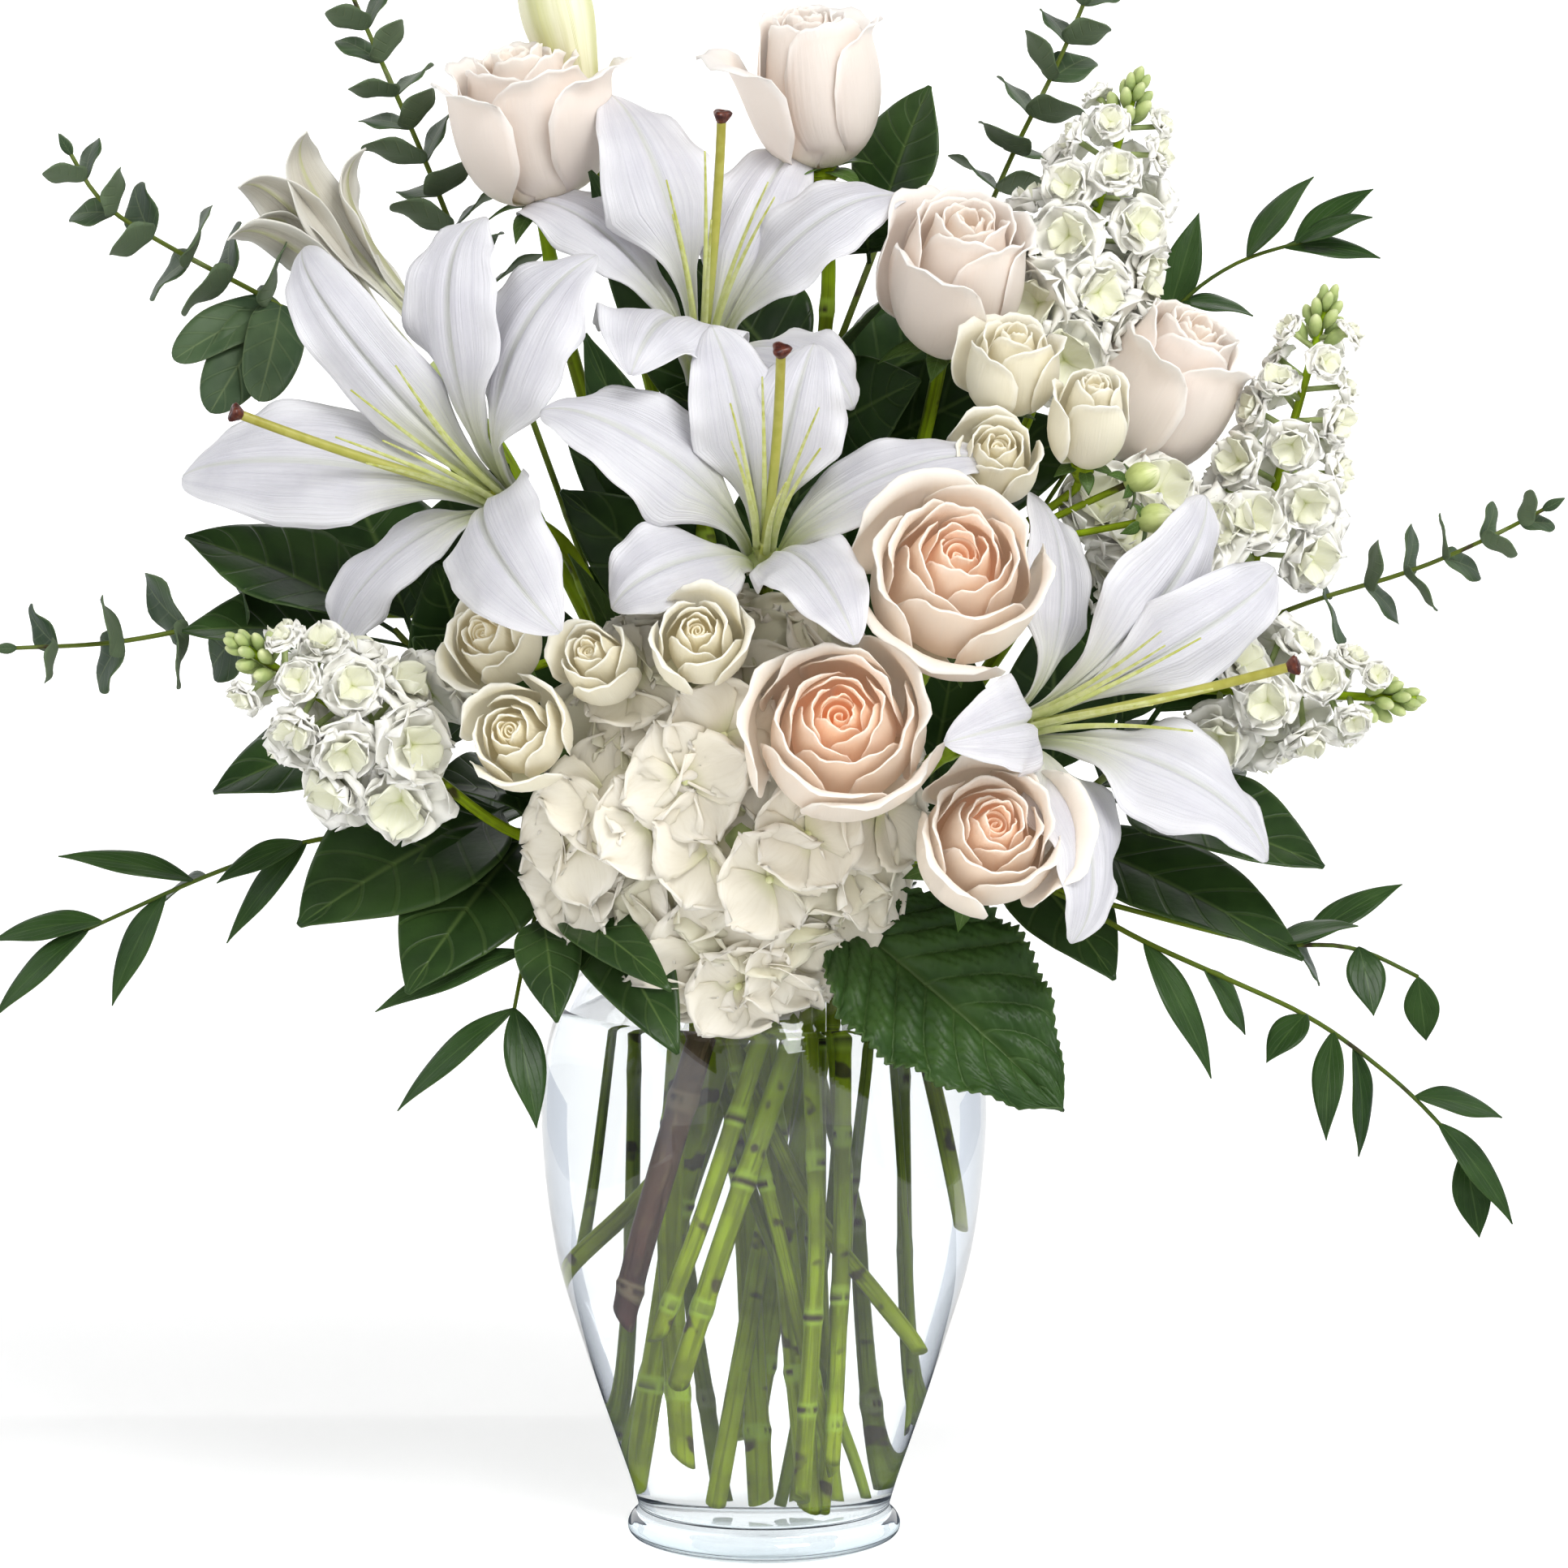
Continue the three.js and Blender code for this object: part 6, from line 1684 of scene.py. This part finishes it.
def make_stem_look(name, young, old, scar, roughness=0.45):
    """Old at the cut end and young at the tip, with blotches, scarred knots and dark stripes along it,
    painted shade for the darker sides of a round stem.
    """
    look = Look(name, Roughness=roughness, Specular_IOR_Level=0.12)
    middle = blend(np.array(old), np.array(young), 0.5)
    blotch = look.noise(38, 4)
    streak = look.streaks(14, 20)
    colour = look.root_to_tip(0.45, old, middle, young)
    colour = look.tint(colour, darker(old, 0.42), blotch, 0.42, 0.62, 0.7)
    pale = tuple(min(1.45 * c, 1) for c in young)
    colour = look.tint(colour, pale, streak, 0.5, 0.8, 0.5)
    # Dark stripes along the stem: painted shade in place of the darker sides of a round stem.
    groove = look.span(look.streaks(9, 5), 0.36, 0.5, 0.7, 0.0)
    colour = look.mix(groove, colour, darker(old, 0.35))
    colour = look.tint(colour, scar, look.noise(85, 2), 0.62, 0.70, 0.85)
    halo = tuple(min(1.3 * c + 0.05, 1) for c in young)
    colour = look.mix(look.span(look.face, 0.5, 0.9, 0.6, 0.0), colour, halo)
    patch = look.span(look.streaks(5, 9), 0.42, 0.56)
    ring = look.math("MULTIPLY", look.span(look.face, 0.05, 0.5, 0.95, 0.0), patch)
    look.colour(look.mix(ring, colour, scar))
    look.rough(look.span(blotch, 0.3, 0.7, roughness - 0.08, roughness + 0.12))
    look.bump(look.math("ADD", streak, blotch), 0.35, 0.0008)


STEM_LOOKS = [  # name, and the colours of the young end, the old end and the scars
    ("stem", (0.26, 0.40, 0.008), (0.30, 0.39, 0.012), (0.035, 0.012, 0.016)),
    ("green_twig", (0.05, 0.085, 0.02), (0.22, 0.31, 0.015), (0.04, 0.02, 0.02)),
    ("twig", (0.13, 0.17, 0.04), (0.22, 0.31, 0.015), (0.04, 0.02, 0.02)),
    ("bark", (0.16, 0.12, 0.06), (0.085, 0.032, 0.034), (0.03, 0.012, 0.014), 0.5),
    ("leaf_stalk", (0.14, 0.20, 0.05), (0.16, 0.18, 0.06), (0.06, 0.05, 0.02)),
]


def make_leaf_look(name, deep, light, rib, under, veins=8.0, gloss=0.4, slant=1.3):
    """A blade with a pale rib, side veins and a paler lower face."""
    look = Look(name, Roughness=gloss, Specular_IOR_Level=0.22)
    off_rib = look.from_rib()
    run = look.math("SUBTRACT", look.along, look.math("MULTIPLY", off_rib, slant / veins))
    comb = look.math("COSINE", look.math("MULTIPLY", run, veins * TURN))
    vein = look.span(comb, 0.86, 1.0)
    mottle = look.noise(45, 4)
    fine = look.noise(420, 2)
    colour = look.tint(deep, light, mottle, 0.32, 0.7)
    colour = look.mix(look.math("MULTIPLY", look.tone, 0.35), colour, light)
    colour = look.mix(look.math("MULTIPLY", vein, 0.22), colour, rib)
    colour = look.mix(look.span(off_rib, 0.0, 0.07, 0.7, 0.0), colour, rib)
    colour = look.tint(colour, rib, off_rib, 0.93, 1.0, 0.35)
    lower = look.mix(look.math("MULTIPLY", vein, 0.3), under, rib)
    look.colour(look.tint(lower, colour, look.face, 0.45, 0.55))
    look.rough(look.span(look.face, 0.0, 1.0, gloss + 0.25, gloss))
    raised = look.math("ADD", look.math("MULTIPLY", vein, -0.6), look.math("MULTIPLY", mottle, 0.5))
    look.bump(look.math("ADD", raised, look.math("MULTIPLY", fine, 0.25)), 0.5, 0.0008)


LEAF_LOOKS = rows_of(
    "name deep light rib under veins gloss slant",
    ("leaf", (0.035, 0.075, 0.014), (0.075, 0.14, 0.028), (0.16, 0.24, 0.08), (0.12, 0.18, 0.07)),
    ("gum_leaf", (0.032, 0.062, 0.028), (0.075, 0.12, 0.055), (0.15, 0.20, 0.09), (0.11, 0.155, 0.085),
     7.0, 0.5),
    ("ruscus_leaf", (0.016, 0.042, 0.009), (0.036, 0.08, 0.018), (0.07, 0.125, 0.035),
     (0.055, 0.10, 0.03), 3.0, 0.36, 3.0),
    ("salal_leaf", (0.013, 0.033, 0.008), (0.032, 0.07, 0.016), (0.10, 0.16, 0.045),
     (0.06, 0.105, 0.035), 8.0, 0.34),
    ("quilted_leaf", (0.016, 0.044, 0.009), (0.036, 0.082, 0.017), (0.10, 0.165, 0.05),
     (0.07, 0.12, 0.045), 8.0, 0.42, 2.2),
)


def make_glass_looks():
    look = Look("glass", Roughness=0.0, IOR=1.5, Transmission_Weight=1.0)
    clear = look.tint((0.985, 0.993, 1.0), (0.97, 0.985, 0.99), look.noise(9), 0.3, 0.7)
    height, _ = look.height_and_depth()
    thick = look.span(height, 0.003, 0.013, 0.8, 0.0)  # the solid foot is tinted darker and bluer: partly the colour of thick glass, partly painted shade in place of the contact shadow seen through it
    look.colour(look.mix(thick, clear, (0.52, 0.64, 0.70)))
    look.bump(look.noise(14, 1), 0.12, 0.002)

    look = Look("water", Roughness=0.0, IOR=1.33, Transmission_Weight=1.0)
    look.mottled(7, (0.97, 0.985, 0.985), (0.955, 0.97, 0.97))


# ---------------------------------------------------------------- the bouquet

make_lily_looks()
make_bud_looks()
for row in ROSE_LOOKS:
    make_rose_look(*row)
make_cluster_looks()
for row in STEM_LOOKS:
    make_stem_look(*row)
for row in LEAF_LOOKS:
    make_leaf_look(**row)
make_glass_looks()

stem_knots = settle_stems(start_stems())
make_vase()
make_water()
make_lily_stems()
for number, lily in enumerate(LILIES, 1):
    make_lily(lily, number)
make_opening_lily()
make_lily_bud()
make_roses()
make_spray_roses()
make_hydrangea()
make_stocks()
for seed, (name, twig) in enumerate(EUCALYPTUS.items()):
    make_eucalyptus(name, twig, 10 * seed)
for seed, (name, twig) in enumerate(RUSCUS.items()):
    make_ruscus(name, twig, 100 + 10 * seed)
for seed, (name, twig) in enumerate(SALAL.items()):
    make_salal(name, twig, 200 + 10 * seed)


# ---------------------------------------------------------------- floor, light and camera


WALL = dict(near=3.4, far=4.4, high=5, sides=64)  # the floor's flat part, and its wall
SIDE_CARD = dict(x=0.5, front=-0.5, back=0.75, high=0.6)
FRONT_CARD = dict(half=1.4, back=0.2, front=-2.6, lift=0.002, high=1.8)
CARD_DARK = ((0.04, 0.055, 0.08), (0.06, 0.075, 0.10))
CARD_PALE = (0.80, 0.83, 0.90)
LAMPS = [  # name, place, aim, width and height, and watts
    ("softbox", (0.8, -1.4, 1.7), (0, 0, 0.3), (1.0, 0.7), 29),
    ("fill", (-1.6, -0.9, 0.9), (0, 0, 0.3), (0.8, 1.2), 2),
    ("backdrop_light", (0, 2.2, 3.0), (0, 4.4, 1.0), (4.0, 1.2), 45),
]
WORLD_LIGHT = 0.1
CAMERA = dict(place=(0.007, -1.8, 0.43), tilt=5.25, lens=119.8, sensor=36, far=50)


def stage_mesh(name, points, faces, look):
    mesh = bpy.data.meshes.new(name)
    mesh.from_pydata(points, [], faces)
    mesh.materials.append(LOOKS[look])
    mesh.polygons.foreach_set("use_smooth", np.ones(len(faces), bool))
    made = link(name, mesh)
    return made


def make_floor():
    """A round pale floor that curves up into a wall all round, alike from every side."""
    look = Look("backdrop", Roughness=0.7, Emission_Strength=0.3, Emission_Color=(1, 1, 1, 1))
    look.mottled(3, (0.93, 0.93, 0.93), (0.945, 0.945, 0.945))
    turn = np.linspace(0, math.pi / 2, 17)
    curve = [(WALL["near"] + math.sin(a), 1 - math.cos(a)) for a in turn]
    run = [(0.001, 0), (0.5, 0), (1.5, 0), *curve, (WALL["far"], WALL["high"])]
    around = np.arange(WALL["sides"]) * TURN / WALL["sides"]
    points = [(r * math.cos(a), r * math.sin(a), z) for r, z in run for a in around]
    stage_mesh("floor", points, quads(len(run), WALL["sides"], wrap=True).tolist(), "backdrop")


def make_side_cards():
    """Dark cards beside the vase, out of every view, that draw the edges of the clear glass. They
    fade upwards and at their front and back."""
    look = Look("side_card", Roughness=0.9)
    height, depth = look.height_and_depth()
    low = look.span(height, 0.05, 0.55, 1.0, 0.0)
    ahead = look.math("MULTIPLY", look.span(depth, -0.5, -0.2), look.span(depth, -0.1, 0.75, 1.0, 0.0))
    dark = look.tint(*CARD_DARK, look.noise(2), 0.3, 0.7)
    look.colour(look.mix(look.math("MULTIPLY", low, ahead), CARD_PALE, dark))
    front, back, high = SIDE_CARD["front"], SIDE_CARD["back"], SIDE_CARD["high"]
    for side, name in ((-1, "side_card_left"), (1, "side_card_right")):
        corners = ((front, 0.0), (back, 0.0), (back, high), (front, high))
        points = [(side * SIDE_CARD["x"], y, z) for y, z in corners]
        card = stage_mesh(name, points, [(0, 1, 2, 3)], "side_card")
        card.visible_camera = card.visible_diffuse = card.visible_shadow = False


def make_front_card():
    """A dark card in front, on the floor and up behind the camera, that only gloss sees: it keeps
    the pale room's glare off the glass."""
    look = Look("front_card", Roughness=0.9)
    look.mottled(2, *CARD_DARK)
    front, lift = FRONT_CARD["front"], FRONT_CARD["lift"]
    bends = ((FRONT_CARD["back"], lift), (front, lift), (front, FRONT_CARD["high"]))
    half = FRONT_CARD["half"]
    points = [(x, y, z) for y, z in bends for x in (-half, half)]
    card = stage_mesh("front_card", points, quads(3, 2).tolist(), "front_card")
    card.visible_camera = card.visible_diffuse = card.visible_shadow = card.visible_transmission = False


def make_light(name, place, aim, size, power):
    lamp = bpy.data.lights.new(name, "AREA")
    lamp.shape = "RECTANGLE"
    lamp.size, lamp.size_y = size
    lamp.energy = power
    made = link(name, lamp)
    made.location = place
    toward = Vector(aim) - made.location
    made.rotation_euler = toward.to_track_quat("-Z", "Y").to_euler()


def make_camera():
    camera = bpy.data.cameras.new("camera")
    camera.lens = CAMERA["lens"]
    camera.sensor_width = CAMERA["sensor"]
    camera.clip_end = CAMERA["far"]
    made = link("camera", camera)
    made.location = CAMERA["place"]
    made.rotation_euler = (math.radians(90 - CAMERA["tilt"]), 0, 0)
    bpy.context.scene.camera = made


def make_world():
    world = bpy.data.worlds.new("studio")
    world.use_nodes = True
    light = world.node_tree.nodes["Background"].inputs
    light["Color"].default_value = (1, 1, 1, 1)
    light["Strength"].default_value = WORLD_LIGHT
    bpy.context.scene.world = world


make_floor()
make_side_cards()
make_front_card()
for row in LAMPS:
    make_light(*row)
make_camera()
make_world()
bpy.context.scene.view_settings.view_transform = "Standard"
